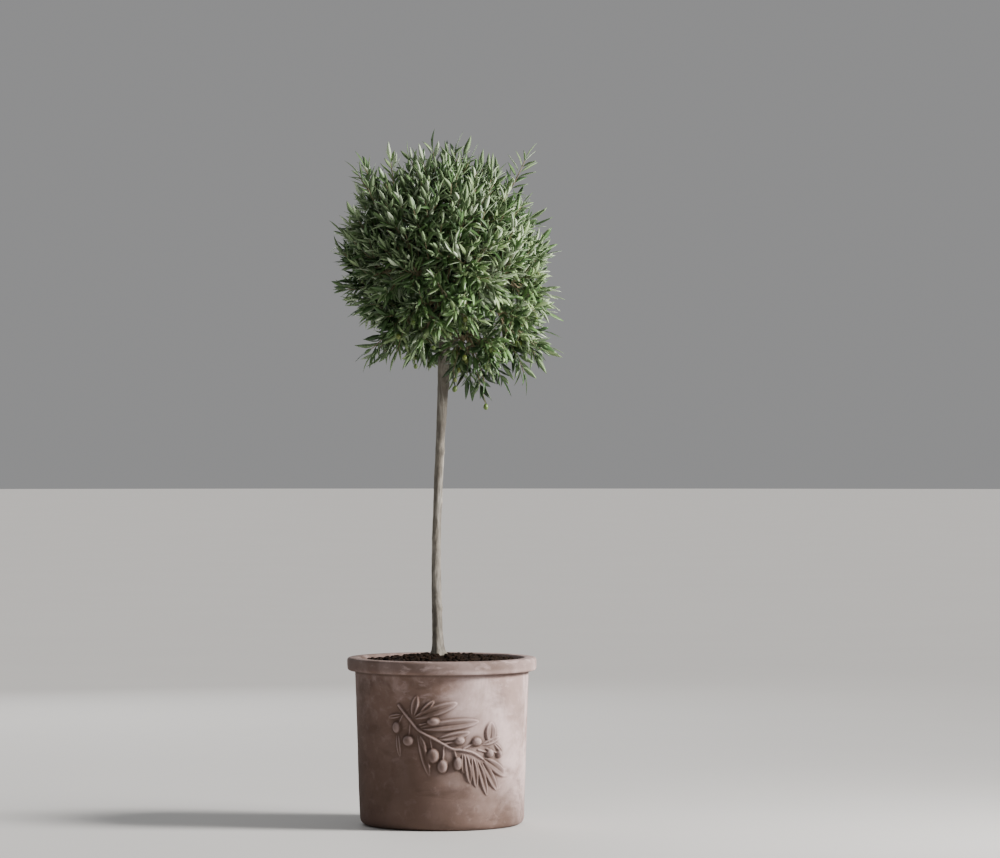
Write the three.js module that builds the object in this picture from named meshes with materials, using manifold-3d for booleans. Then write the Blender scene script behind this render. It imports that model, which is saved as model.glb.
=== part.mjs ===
// Potted olive tree: a ball-headed standard in a thick-rimmed terracotta pot with an olive-sprig relief.
// Millimetres, +Z up. The front of the pot faces -Y and +X is to the right, seen from the front.
// The origin is the centre of the pot's flat underside.

import * as THREE from "three";
import { mergeVertices } from "three/addons/utils/BufferGeometryUtils.js";
import Module from "manifold-3d";

const wasm = await Module();
wasm.setup();

// Driving dimensions

const GAP = 0.3; // between neighbouring solids that touch on the real tree
const FINEST = 0.06; // details finer than this are smoothed away once a mass is joined
const WELD = 1e-3; // corners closer than this are one corner
const SAME_SHARE = 1e-4; // shares of a line closer than this are the same place

const POT = {
  height: 434,
  rimRadius: 247, // outside of the rolled rim
  rimHeight: 35,
  rimRound: 7,
  rimRise: 2, // how far the rim's underside rises to its outer edge
  mouthRadius: 214, // inner edge of the rim
  mouthBevel: 3,
  topRadius: 226, // body just under the rim
  footRadius: 213,
  footRound: 22,
  wall: 23,
  floor: 26,
  segments: 42,
  cornerSteps: 2,
};

const SOIL = {
  edgeBelowRim: 11,
  moundHeight: 15, // the centre above the edge
  levelShare: 0.2, // the middle is level under the trunk, out to this share of the mouth
  roughness: 3,
  clodTurns: [0.061, 0.073], // radians per millimetre of the waves that lift and sink its clods
  clodShifts: [1.3, -0.4],
  levelWithin: 0.01, // the clods leave points alone that lie within this of the edge and the middle
  segments: 30,
  rings: 5,
};

const SOIL_TOP = POT.height - SOIL.edgeBelowRim + SOIL.moundHeight;

// The trunk's centre line from the soil to the top of its leader, with its radius at each point.
const TRUNK = {
  line: [
    { at: [-9, 4, SOIL_TOP + GAP], radius: 22 },
    { at: [-10, 5, 462], radius: 15.5 },
    { at: [-12, 7, 520], radius: 13 },
    { at: [-15, 8, 680], radius: 12 },
    { at: [-11, 6, 842], radius: 11 },
    { at: [-4, 0, 1000], radius: 11.3 },
    { at: [2, -4, 1120], radius: 12.6 },
    { at: [5, -4, 1205], radius: 14.5 },
    { at: [7, -2, 1290], radius: 11 },
    { at: [9, 1, 1400], radius: 8 },
    { at: [8, 0, 1530], radius: 5 },
  ],
  sides: 12,
  steps: 18,
  flareLobes: 4,
  flareDepth: 0.16, // share of the radius that the root flare's lobes swell by at the soil
  flareTurn: 0.6, // radians that the lobes are turned by about the trunk
  flareHeight: 60,
  cutReach: 0.5, // points within this share of the foot's radius of the cut are laid flat on it
};

const CROWN = {
  centre: [8, 0, 1460],
  coreInner: 0.32, // a mass's core lies between these shares of the crown's reach
  coreOuter: 0.64,
  coreAside: 3.5, // and this far from the planes that bound its space
  coreOffLimb: 12, // and from the limbs
  coreFill: [0.88, 1.06], // its lumps reach between these shares of its outer bound
  coreStep: 0.04, // a lump is grown by this share of the mass's reach at a time
  coreLeast: 0.1, // and is at least this long
  twigAside: 9, // twigs keep this far from the planes
  ragged: 9, // leaves may stand this far out of the blended reach
  blend: 14, // how sharply the outline turns from one mass's reach to the next's
  clearance: 1.2, // kept between a mass and the planes that bound its own space
  shoots: 80, // leafy twigs spread evenly over the whole crown
  lift: 0.12, // how far shoots turn up towards the light
  drawSteps: 12, // a shoot's tip is drawn in to its mass's space in up to this many steps
  drawShare: 0.08,
  seed: 504,
};

// The masses of foliage. Azimuth is about +Z from +X, elevation is above the horizon, both in
// degrees from the crown's centre, and reach is the distance to the furthest tips.
const MASSES = [
  { name: "top", azimuth: 150, elevation: 80, reach: 300 },
  { name: "upper_right", azimuth: 12, elevation: 40, reach: 276 },
  { name: "upper_back_right", azimuth: 72, elevation: 38, reach: 290 },
  { name: "upper_back_left", azimuth: 128, elevation: 42, reach: 290 },
  { name: "upper_left", azimuth: 186, elevation: 38, reach: 308 },
  { name: "upper_front_left", azimuth: 243, elevation: 41, reach: 292 },
  { name: "upper_front_right", azimuth: 304, elevation: 39, reach: 290 },
  { name: "right", azimuth: 350, elevation: -8, reach: 292 },
  { name: "back_right", azimuth: 46, elevation: -3, reach: 284 },
  { name: "back_left", azimuth: 108, elevation: -1, reach: 282 },
  { name: "left", azimuth: 172, elevation: -6, reach: 302 },
  { name: "front_left", azimuth: 230, elevation: -2, reach: 286 },
  { name: "front_right", azimuth: 292, elevation: -4, reach: 284 },
  { name: "low_right", azimuth: 352, elevation: -42, reach: 374 },
  { name: "low_back_right", azimuth: 64, elevation: -46, reach: 285 },
  { name: "low_back_left", azimuth: 132, elevation: -45, reach: 280 },
  { name: "low_left", azimuth: 200, elevation: -48, reach: 302 },
  { name: "low_front", azimuth: 262, elevation: -47, reach: 282 },
  { name: "hanging", azimuth: 342, elevation: -71, reach: 392 },
];

// How steeply a bough rises to a mass, as a slope, and the range of heights it may leave the trunk at.
const BOUGH = {
  slopeLow: 0.5,
  slopeMiddle: 0.9,
  slopeUpper: 1.45,
  ringEdge: 20, // degrees of elevation between the middle ring of masses and the others
  lowest: 1196,
  highest: 1440,
  spread: 9, // neighbouring boughs leave the trunk this much higher and lower
  rootRadius: 7.6,
  tipRadius: 4.6,
  bow: 0.1, // sag of the middle, as a share of the length
  bowAt: 0.55, // where it sags most
  short: 0.42, // how far short of its mass's middle it stops, as a share of the way
  sides: 5,
  steps: 2,
};

const STEM = { rootRadius: 4.4, tipRadius: 2.6, sides: 5, steps: 2, bendAt: 0.4 };
const TWIG = { rootRadius: 2.6, tipRadius: 1.8, steps: 2 };

const SHOOT = {
  rootAt: 0.12, // shares of the way from the core's middle to the tip
  bendAt: 0.6,
  reach: [0.92, 1], // shares of the crown's reach that the end leaves come to
  endLeaf: 0.74, // the twig stops this share of a leaf's length short of that
  pairs: 3,
  firstPair: 0.58, // shares of the twig between which its side leaves stand
  strayFirstPair: 0.5,
  lastPair: 0.94,
  turn: 25, // degrees that a pair may be turned by about its twig
  strayOver: 200, // how far a stray shoot's leaves may stand out of the blended reach
  samples: 20, // places on its line that are tested
  offLimb: 4, // they keep this far from the limbs
  aside: 3, // and this far from the planes that bound the mass's space
};

const LEAF = {
  length: 92,
  width: 26,
  thickness: 4, // from the blade to its keel
  widest: 0.45, // where it is widest, as a share of its length
  spread: 50, // degrees between a side leaf and its twig
  spreadRange: [0.8, 1.15],
  sideSizes: [0.8, 1.1],
  endSizes: [0.8, 1],
  endFacing: 0.4, // how far an end leaf's face turns up
  budLength: 0.15, // a bud's shares of a leaf's length and width
  budWidth: 0.2,
  offLimb: 3,
  midribTests: [0.3, 0.55, 0.8], // shares of its length that are tested, besides its corners
  freeFrom: 0.3, // from this share of its length on, a leaf keeps apart from the others
  apart: 8,
};

// The ways that a leaf is tried, by how far it is drawn in to its twig and its share of its size.
const LEAF_TRIES = [
  { drawnIn: 0, share: 1 },
  { drawnIn: 0.35, share: 0.95 },
  { drawnIn: 0.15, share: 0.8 },
  { drawnIn: 0.6, share: 0.85 },
  { drawnIn: 0.85, share: 0.7 },
];

const OLIVE = { length: 21, width: 16, middle: 0.42, stalk: 14, stalkRadius: 1.2, along: 0.86 };

// Shoots that stand out of the crown's outline, by the place of their tips.
const STRAY_SHOOTS = [
  { mass: "upper_right", tip: [232, -38, 1752], pairs: 3 },
  { mass: "upper_left", tip: [-222, -30, 1738], pairs: 2 },
  { mass: "top", tip: [-24, -20, 1783], pairs: 2 },
  { mass: "top", tip: [38, 25, 1768], pairs: 2 },
  { mass: "low_left", tip: [-206, -46, 1190], pairs: 3 },
  { mass: "low_right", tip: [292, -20, 1236], pairs: 2 },
];

// How many of a mass's shoots carry an olive.
const OLIVES = { hanging: 4, low_right: 2, low_front: 2, low_left: 1 };

// The relief on the pot's front, a sprig of olive. Places on the wall are given as the distance along
// it to the right of the front's middle, and the height above the underside.
const RELIEF = {
  stem: [
    [-111, 322],
    [-79, 284],
    [-56, 259],
    [-13, 235],
    [29, 212],
    [51, 209],
    [83, 201],
    [111, 184],
  ],
  stemRadius: 4,
  stemFlare: 1.3, // how much thicker the stem's foot is
  stemSides: 4,
  stemSteps: 10,
  leafHeight: 7,
  pointed: 0.22, // how far a leaf's sides are drawn in towards its ends
  oliveHeight: 11,
  sunk: 3, // how far the pieces' middles lie under the wall's surface
};

// Each relief leaf: its foot, its direction in degrees up from the right, its length and its width.
const RELIEF_LEAVES = [
  { foot: [-71, 289], turn: 19, length: 119, width: 28 },
  { foot: [-54, 264], turn: 6, length: 155, width: 29 },
  { foot: [-9, 236], turn: 11, length: 85, width: 21 },
  { foot: [-72, 294], turn: 79, length: 54, width: 21 },
  { foot: [-101, 297], turn: 190, length: 43, width: 12 },
  { foot: [-116, 252], turn: 277, length: 64, width: 13 },
  { foot: [-58, 252], turn: 285, length: 114, width: 21 },
  { foot: [111, 185], turn: 327, length: 92, width: 27 },
  { foot: [109, 177], turn: 301, length: 90, width: 21 },
  { foot: [97, 181], turn: 288, length: 95, width: 19 },
  { foot: [83, 190], turn: 277, length: 79, width: 19 },
  { foot: [65, 197], turn: 278, length: 76, width: 18 },
  { foot: [131, 226], turn: 82, length: 51, width: 26 },
  { foot: [109, 220], turn: 18, length: 58, width: 16 },
];

const RELIEF_OLIVES = [
  { at: [-117, 265], width: 23, length: 31 },
  { at: [-84, 232], width: 31, length: 29 },
  { at: [-19, 281], width: 33, length: 23 },
  { at: [-20, 194], width: 31, length: 38 },
  { at: [4, 167], width: 27, length: 35 },
  { at: [43, 174], width: 23, length: 35 },
  { at: [48, 233], width: 27, length: 22 },
  { at: [94, 229], width: 27, length: 22 },
  { at: [131, 198], width: 22, length: 23 },
];

const COLOURS = {
  clay: 0xa98f84,
  soil: 0x2e211b,
  bark: 0x8d857a,
  foliage: 0x5f7350,
};

// Numbers, points and directions

const DEGREE = Math.PI / 180;
const UP = new THREE.Vector3(0, 0, 1);
const point = (xyz) => new THREE.Vector3(...xyz);
const mix = THREE.MathUtils.lerp;

// A repeatable stream of numbers from 0 to 1: the same seed gives the same tree.
function seeded(seed) {
  let state = Math.imul(seed + 1, 0x9e3779b1) >>> 0;
  return () => {
    state = (state + 0x6d2b79f5) >>> 0;
    let mixed = Math.imul(state ^ (state >>> 15), state | 1);
    mixed ^= mixed + Math.imul(mixed ^ (mixed >>> 7), mixed | 61);
    return ((mixed ^ (mixed >>> 14)) >>> 0) / 4294967296;
  };
}

function directionOf(azimuth, elevation) {
  const level = Math.cos(elevation * DEGREE);
  return new THREE.Vector3(
    level * Math.cos(azimuth * DEGREE),
    level * Math.sin(azimuth * DEGREE),
    Math.sin(elevation * DEGREE),
  );
}

// Geometry and solids

function solidOf(geometry) {
  const bare = geometry.clone();
  bare.deleteAttribute("normal");
  bare.deleteAttribute("uv");
  const merged = mergeVertices(bare, WELD);
  return new wasm.Manifold(
    new wasm.Mesh({
      numProp: 3,
      vertProperties: new Float32Array(merged.attributes.position.array),
      triVerts: new Uint32Array(merged.index.array),
    }),
  );
}

function geometryOf(solid) {
  const mesh = solid.getMesh();
  const indexed = new THREE.BufferGeometry();
  indexed.setAttribute(
    "position",
    new THREE.BufferAttribute(mesh.vertProperties, 3),
  );
  indexed.setIndex(new THREE.BufferAttribute(mesh.triVerts, 1));
  const geometry = indexed.toNonIndexed();
  geometry.computeVertexNormals();
  return geometry;
}

const join = (solids) => solids.reduce((whole, piece) => whole.add(piece));

// The largest body of a joined solid: scraps are dropped, and so are the walls of sealed hollows.
function largestBody(solid) {
  return solid
    .decompose()
    .reduce((best, body) => (body.volume() > best.volume() ? body : best));
}

// A closed round limb along a line, from a capped cylinder bent to follow it.
// radiusAt(share, angle) gives its radius at a share of the line and an angle about it.
function limb(line, radiusAt, sides, steps) {
  const geometry = new THREE.CylinderGeometry(1, 1, 1, sides, steps);
  const frames = line.computeFrenetFrames(steps, false);
  const position = geometry.attributes.position;
  for (let i = 0; i < position.count; i++) {
    const share = position.getY(i) + 0.5;
    const step = Math.round(share * steps);
    const [x, z] = [position.getX(i), position.getZ(i)];
    const angle = Math.atan2(z, x);
    const reach = Math.hypot(x, z) * radiusAt(share, angle);
    const place = line
      .getPoint(share)
      .addScaledVector(frames.normals[step], reach * Math.cos(angle))
      .addScaledVector(frames.binormals[step], -reach * Math.sin(angle));
    position.setXYZ(i, place.x, place.y, place.z);
  }
  return geometry;
}

function taper(line, rootRadius, tipRadius, sides, steps) {
  return limb(line, (share) => mix(rootRadius, tipRadius, share), sides, steps);
}

// A limb's centre line as short straight lengths, for testing what comes near it.
function lengthsOf(line, radiusAt, steps) {
  return Array.from({ length: steps }, (_, i) => ({
    line: new THREE.Line3(
      line.getPoint(i / steps),
      line.getPoint((i + 1) / steps),
    ),
    radius: radiusAt((i + 0.5) / steps),
  }));
}

// The pot

const bodyRadius = (height) =>
  mix(POT.footRadius, POT.topRadius, height / (POT.height - POT.rimHeight));

function potProfile() {
  const rimFoot = POT.height - POT.rimHeight;
  const outline = new THREE.Path();
  outline.moveTo(0, 0);
  outline.lineTo(bodyRadius(0) - POT.footRound, 0);
  outline.quadraticCurveTo(
    bodyRadius(0),
    0,
    bodyRadius(POT.footRound),
    POT.footRound,
  );
  outline.lineTo(bodyRadius(rimFoot), rimFoot);
  outline.lineTo(POT.rimRadius - POT.rimRound, rimFoot + POT.rimRise / 2);
  outline.quadraticCurveTo(
    POT.rimRadius,
    rimFoot + POT.rimRise,
    POT.rimRadius,
    rimFoot + POT.rimRound + POT.rimRise,
  );
  outline.lineTo(POT.rimRadius, POT.height - POT.rimRound);
  outline.quadraticCurveTo(
    POT.rimRadius,
    POT.height,
    POT.rimRadius - POT.rimRound,
    POT.height,
  );
  outline.lineTo(POT.mouthRadius + POT.mouthBevel, POT.height);
  outline.lineTo(POT.mouthRadius, POT.height - POT.mouthBevel);
  outline.lineTo(bodyRadius(rimFoot) - POT.wall, rimFoot);
  outline.lineTo(bodyRadius(POT.floor) - POT.wall, POT.floor);
  outline.lineTo(0, POT.floor);
  return outline.getPoints(POT.cornerSteps);
}

// A point on the pot's wall at a distance across and up, lifted off the wall's surface.
function onWall(across, up, lifted) {
  const radius = bodyRadius(up);
  const angle = across / radius - Math.PI / 2;
  return new THREE.Vector3(
    (radius + lifted) * Math.cos(angle),
    (radius + lifted) * Math.sin(angle),
    up,
  );
}

// Moves a shape drawn as (across, up, off the wall) onto the pot's wall.
function wrapOnWall(geometry) {
  const position = geometry.attributes.position;
  for (let i = 0; i < position.count; i++) {
    const place = onWall(
      position.getX(i),
      position.getY(i),
      position.getZ(i),
    );
    position.setXYZ(i, place.x, place.y, place.z);
  }
  return solidOf(geometry);
}

// A lens: an octahedron's corners and the middles of its edges, with the sides drawn in to a point.
function reliefLeaf({ foot, turn, length, width }) {
  const geometry = new THREE.OctahedronGeometry(1, 1);
  const position = geometry.attributes.position;
  for (let i = 0; i < position.count; i++) {
    position.setY(i, position.getY(i) * (1 - RELIEF.pointed * Math.abs(position.getX(i))));
  }
  geometry.scale(length / 2, width / 2, RELIEF.leafHeight + RELIEF.sunk);
  geometry.translate(length / 2, 0, -RELIEF.sunk);
  geometry.rotateZ(turn * DEGREE);
  geometry.translate(foot[0], foot[1], 0);
  return wrapOnWall(geometry);
}

function reliefOlive({ at, width, length }) {
  const geometry = new THREE.IcosahedronGeometry(1, 0);
  geometry.scale(width / 2, length / 2, RELIEF.oliveHeight);
  geometry.translate(at[0], at[1], 0);
  return wrapOnWall(geometry);
}

function reliefStem() {
  const line = new THREE.CatmullRomCurve3(
    RELIEF.stem.map(([across, up]) => new THREE.Vector3(across, up, 0)),
  );
  return wrapOnWall(
    taper(
      line,
      RELIEF.stemRadius * RELIEF.stemFlare,
      RELIEF.stemRadius,
      RELIEF.stemSides,
      RELIEF.stemSteps,
    ),
  );
}

function potSolid() {
  const lathe = new THREE.LatheGeometry(potProfile(), POT.segments);
  lathe.rotateX(Math.PI / 2);
  return join([
    solidOf(lathe),
    reliefStem(),
    ...RELIEF_LEAVES.map(reliefLeaf),
    ...RELIEF_OLIVES.map(reliefOlive),
  ]);
}

// The soil fills the pot to just under the rim and mounds up round the trunk.
function soilSolid() {
  const edge = POT.height - SOIL.edgeBelowRim;
  const rimFoot = POT.height - POT.rimHeight;
  const outline = new THREE.Path();
  outline.moveTo(0, POT.floor + GAP);
  outline.lineTo(
    bodyRadius(POT.floor) - POT.wall - 2 * GAP,
    POT.floor + GAP,
  );
  outline.lineTo(bodyRadius(rimFoot) - POT.wall - 2 * GAP, rimFoot);
  outline.lineTo(
    mix(
      bodyRadius(rimFoot) - POT.wall,
      POT.mouthRadius,
      (edge - rimFoot) / (POT.rimHeight - POT.mouthBevel),
    ) -
      2 * GAP,
    edge,
  );
  for (let ring = SOIL.rings; ring > 0; ring--) {
    const slope = (ring - 1) / SOIL.rings;
    const share = mix(SOIL.levelShare, 1, slope);
    const rise = SOIL.moundHeight * (0.5 + 0.5 * Math.cos(slope * Math.PI));
    outline.lineTo(share * POT.mouthRadius, edge + rise);
  }
  outline.lineTo(0, SOIL_TOP);
  const geometry = new THREE.LatheGeometry(
    outline.getPoints(1),
    SOIL.segments,
  );
  geometry.rotateX(Math.PI / 2);
  const position = geometry.attributes.position;
  for (let i = 0; i < position.count; i++) {
    const [x, y, z] = [position.getX(i), position.getY(i), position.getZ(i)];
    const share = Math.hypot(x, y) / POT.mouthRadius;
    const onSlope = z > edge + SOIL.levelWithin && share > SOIL.levelShare + SOIL.levelWithin;
    const clod =
      Math.sin(x * SOIL.clodTurns[0] + SOIL.clodShifts[0]) *
      Math.cos(y * SOIL.clodTurns[1] + SOIL.clodShifts[1]);
    position.setZ(i, onSlope ? z + SOIL.roughness * clod : z);
  }
  return solidOf(geometry);
}

// The trunk and boughs

const trunkLine = new THREE.CatmullRomCurve3(
  TRUNK.line.map(({ at }) => point(at)),
  false,
  "centripetal",
);

function trunkRadius(share) {
  const place = share * (TRUNK.line.length - 1);
  const below = Math.min(Math.floor(place), TRUNK.line.length - 2);
  return mix(
    TRUNK.line[below].radius,
    TRUNK.line[below + 1].radius,
    place - below,
  );
}

// The trunk swells by more where it is widened, so its copy clears boughs by an even gap.
function trunkGeometry(widened) {
  const geometry = limb(
    trunkLine,
    (share, angle) => {
      const height = trunkLine.getPoint(share).z - TRUNK.line[0].at[2];
      const flare = Math.max(0, 1 - height / TRUNK.flareHeight);
      const lobes =
        1 +
        TRUNK.flareDepth * flare * Math.cos(TRUNK.flareLobes * angle + TRUNK.flareTurn);
      return trunkRadius(share) * lobes + widened;
    },
    TRUNK.sides,
    TRUNK.steps,
  );
  flattenFoot(geometry);
  return geometry;
}

// Levels the trunk's lowest ring, so that it ends in a flat cut at the soil.
function flattenFoot(geometry) {
  const foot = TRUNK.line[0].at[2];
  const position = geometry.attributes.position;
  const reach = TRUNK.line[0].radius * TRUNK.cutReach;
  for (let i = 0; i < position.count; i++) {
    if (position.getZ(i) < foot + reach) position.setZ(i, foot);
  }
}

// The point of the trunk's centre line at a height.
function trunkAt(height) {
  let [low, high] = [0, 1];
  while (high - low > SAME_SHARE) {
    const middle = (low + high) / 2;
    if (trunkLine.getPoint(middle).z < height) low = middle;
    else high = middle;
  }
  return trunkLine.getPoint(low);
}

const crownCentre = point(CROWN.centre);

for (const mass of MASSES) {
  mass.direction = directionOf(mass.azimuth, mass.elevation);
  mass.core = crownCentre
    .clone()
    .addScaledVector(mass.direction, (mass.reach * (CROWN.coreInner + CROWN.coreOuter)) / 2);
}

// The crown's reach in a direction, blended from the reaches of the masses near it.
function reachTowards(direction) {
  let [sum, weights] = [0, 0];
  for (const mass of MASSES) {
    const weight = Math.exp(
      CROWN.blend * (direction.dot(mass.direction) - 1),
    );
    sum += weight * mass.reach;
    weights += weight;
  }
  return sum / weights;
}

function inReach(points, over) {
  return points.every((place) => {
    const from = place.clone().sub(crownCentre);
    return from.length() < reachTowards(from.clone().normalize()) + over;
  });
}

function nearestMass(direction) {
  return MASSES.reduce((best, mass) =>
    direction.dot(mass.direction) > direction.dot(best.direction)
      ? mass
      : best,
  );
}

// Where the bough to a mass leaves the trunk: it rises at the slope of its ring.
function boughRoot(mass, order) {
  const slope =
    mass.elevation > BOUGH.ringEdge
      ? BOUGH.slopeUpper
      : mass.elevation > -BOUGH.ringEdge
        ? BOUGH.slopeMiddle
        : BOUGH.slopeLow;
  const level = Math.hypot(
    mass.core.x - crownCentre.x,
    mass.core.y - crownCentre.y,
  );
  const spread = BOUGH.spread * ((order % 3) - 1);
  return trunkAt(
    THREE.MathUtils.clamp(
      mass.core.z - slope * level + spread,
      BOUGH.lowest + spread,
      BOUGH.highest,
    ),
  );
}

// The limb that carries a mass: a bough from the trunk to the core's near side. The top mass has
// none, because its stem grows from the trunk's own tip.
function boughLine(mass, order) {
  const root = boughRoot(mass, order);
  const along = mass.core.clone().sub(root);
  const length = along.length();
  const tip = mass.core
    .clone()
    .addScaledVector(along.normalize(), -(length * BOUGH.short));
  const middle = root.clone().lerp(tip, BOUGH.bowAt);
  middle.z -= BOUGH.bow * length;
  return new THREE.QuadraticBezierCurve3(root, middle, tip);
}

function boughSolid(line, widened) {
  return solidOf(
    taper(
      line,
      BOUGH.rootRadius + widened,
      BOUGH.tipRadius + widened,
      BOUGH.sides,
      BOUGH.steps,
    ),
  );
}

// The stem inside a mass goes on from its limb's tip, a gap clear of it, to the core's centre.
function stemLine(mass, limbLine) {
  const tip = limbLine.getPoint(1);
  const onward = limbLine.getTangent(1);
  const start = tip.clone().addScaledVector(onward, GAP);
  const bend = start
    .clone()
    .addScaledVector(onward, start.distanceTo(mass.core) * STEM.bendAt);
  return new THREE.QuadraticBezierCurve3(start, bend, mass.core);
}

// The space that a mass keeps to

// True where every point is on the mass's own side of the planes between it and its neighbours,
// by the given margin.
function insideSpace(mass, points, margin) {
  return points.every((place) => {
    const from = place.clone().sub(crownCentre);
    return MASSES.every((other) => {
      if (other === mass) return true;
      const across = mass.direction.clone().sub(other.direction).normalize();
      return from.dot(across) > margin;
    });
  });
}

function touchesLimb(limbs, points, margin) {
  const nearest = new THREE.Vector3();
  return points.some((place) =>
    limbs.some(({ line, radius }) => {
      line.closestPointToPoint(place, true, nearest);
      return nearest.distanceTo(place) < radius + margin;
    }),
  );
}

// True where a core may reach: well inside its own space, off the limbs and in the crown's shell.
function inCore(mass, limbs, place, fill) {
  const from = place.clone().sub(crownCentre);
  const share = from.length() / reachTowards(from.clone().normalize());
  return (
    share > CROWN.coreInner &&
    share < CROWN.coreOuter * fill &&
    insideSpace(mass, [place], CROWN.coreAside) &&
    !touchesLimb(limbs, [place], CROWN.coreOffLimb)
  );
}

// The core of a mass: a lumpy ball grown from its middle until it meets its bounds.
function coreSolid(mass, limbs, random) {
  const geometry = new THREE.IcosahedronGeometry(1, 1);
  geometry.deleteAttribute("normal");
  geometry.deleteAttribute("uv");
  const ball = mergeVertices(geometry, WELD);
  const position = ball.attributes.position;
  for (let i = 0; i < position.count; i++) {
    const direction = new THREE.Vector3().fromBufferAttribute(position, i);
    const fill = mix(...CROWN.coreFill, random());
    const place = mass.core.clone();
    for (let grown = 0; grown < 1; grown += CROWN.coreStep) {
      const next = mass.core.clone().addScaledVector(direction, grown * mass.reach);
      if (grown > CROWN.coreLeast && !inCore(mass, limbs, next, fill)) break;
      place.copy(next);
    }
    position.setXYZ(i, place.x, place.y, place.z);
  }
  return solidOf(ball);
}

// Twigs, leaves and fruit

// A leaf's corners: its blade lies across flat, with a keel under the midrib.
function leafCorners(foot, direction, flat, length, width) {
  const side = direction.clone().cross(flat).normalize();
  const face = side.clone().cross(direction).normalize();
  const middle = foot.clone().addScaledVector(direction, length * LEAF.widest);
  return {
    foot,
    tip: foot.clone().addScaledVector(direction, length),
    left: middle.clone().addScaledVector(side, -width / 2),
    right: middle.clone().addScaledVector(side, width / 2),
    keel: middle.clone().addScaledVector(face, -LEAF.thickness),
  };
}

// A sphere of three segments has five corners: its poles become the leaf's foot and tip.
function leafSolid({ foot, tip, left, right, keel }) {
  const geometry = new THREE.SphereGeometry(1, 3, 2);
  const position = geometry.attributes.position;
  for (let i = 0; i < position.count; i++) {
    const [x, y, z] = [position.getX(i), position.getY(i), position.getZ(i)];
    const rim = x < -0.9 ? keel : z > 0 ? left : right;
    const corner = y > 0.5 ? tip : y < -0.5 ? foot : rim;
    position.setXYZ(i, corner.x, corner.y, corner.z);
  }
  return solidOf(geometry);
}

// A point on a twig, which is straight between its steps.
function twigPoint(line, share) {
  const step = Math.min(Math.floor(share * TWIG.steps), TWIG.steps - 1);
  return line
    .getPoint(step / TWIG.steps)
    .lerp(line.getPoint((step + 1) / TWIG.steps), share * TWIG.steps - step);
}

// The leaf that ends a twig, and a bud in its place where it would not fit.
function endLeaf(line, random) {
  const along = line.getTangent(1);
  const flat = new THREE.Vector3(mix(-1, 1, random()), mix(-1, 1, random()), LEAF.endFacing);
  const size = mix(...LEAF.endSizes, random());
  return { foot: line.getPoint(1), along, direction: along, flat, size };
}

function budCorners({ foot, direction, flat }) {
  return leafCorners(foot, direction, flat, LEAF.length * LEAF.budLength, LEAF.width * LEAF.budWidth);
}

// The side leaves of a shoot: opposite pairs, each turned a quarter from the last.
function sideLeaves(line, pairs, firstPair, random) {
  const leaves = [];
  for (let pair = 0; pair < pairs; pair++) {
    const share = mix(firstPair, SHOOT.lastPair, pairs > 1 ? pair / (pairs - 1) : 0.5);
    const foot = twigPoint(line, share);
    const along = line.getTangent(share);
    const turn = (pair % 2) * 90 + mix(-SHOOT.turn, SHOOT.turn, random());
    const aside = along.clone().cross(UP).normalize().applyAxisAngle(along, turn * DEGREE);
    for (const way of [1, -1]) {
      const spread = LEAF.spread * mix(...LEAF.spreadRange, random()) * DEGREE;
      const direction = along
        .clone()
        .multiplyScalar(Math.cos(spread))
        .addScaledVector(aside, way * Math.sin(spread));
      const size = mix(...LEAF.sideSizes, random());
      leaves.push({ foot, along, direction, flat: along, size });
    }
  }
  return leaves;
}

// A twig and its end leaf in one piece, from a three-sided cone: its rings follow the twig's line,
// the last ring spreads to the leaf's edges and keel, and its point is the leaf's tip.
function leafyTwig(line, leaf) {
  const rings = TWIG.steps + 2;
  const geometry = new THREE.CylinderGeometry(0, 1, 1, 3, rings);
  const along = line.getTangent(1);
  const across = leaf.right.clone().sub(leaf.left).normalize();
  const position = geometry.attributes.position;
  for (let i = 0; i < position.count; i++) {
    const [x, z] = [position.getX(i), position.getZ(i)];
    const ring = Math.round((position.getY(i) + 0.5) * rings);
    const angle = Math.atan2(z, x);
    const radius = mix(TWIG.rootRadius, TWIG.tipRadius, ring / TWIG.steps);
    const reach = x === 0 && z === 0 ? 0 : radius;
    const place = line
      .getPoint(Math.min(ring / TWIG.steps, 1))
      .addScaledVector(across, reach * Math.cos(angle))
      .addScaledVector(across.clone().cross(along), reach * Math.sin(angle));
    const edge = z > 0 ? leaf.keel : x > 0 ? leaf.right : leaf.left;
    if (ring === rings - 1) place.copy(edge);
    if (ring === rings) place.copy(leaf.tip);
    position.setXYZ(i, place.x, place.y, place.z);
  }
  return solidOf(geometry);
}

// The corners of the first form of a leaf that stays in the mass's space and clear of the limbs and
// of the leaves made so far, or none: it is laid closer to its twig, and then made smaller, until it
// fits. The leaf that fits joins the list of what is taken.
function fittedLeaf(mass, limbs, taken, reachOver, { foot, along, direction, flat, size }) {
  for (const { drawnIn, share } of LEAF_TRIES) {
    const way = direction.clone().lerp(along, drawnIn).normalize();
    const [length, width] = [LEAF.length * size * share, LEAF.width * size * share];
    const corners = leafCorners(foot, way, flat, length, width);
    const { tip, left, right, keel } = corners;
    const outer = [tip, left, right, keel];
    const midrib = LEAF.midribTests.map((place) => foot.clone().lerp(tip, place));
    if (
      inReach(outer, reachOver) &&
      insideSpace(mass, outer, CROWN.clearance) &&
      !touchesLimb(limbs, [...outer, ...midrib], LEAF.offLimb) &&
      !touchesLimb(taken, [...outer, ...midrib], LEAF.apart)
    ) {
      const free = new THREE.Line3(foot.clone().lerp(tip, LEAF.freeFrom), tip);
      taken.push({ line: free, radius: 0 });
      return corners;
    }
  }
  return null;
}

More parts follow.
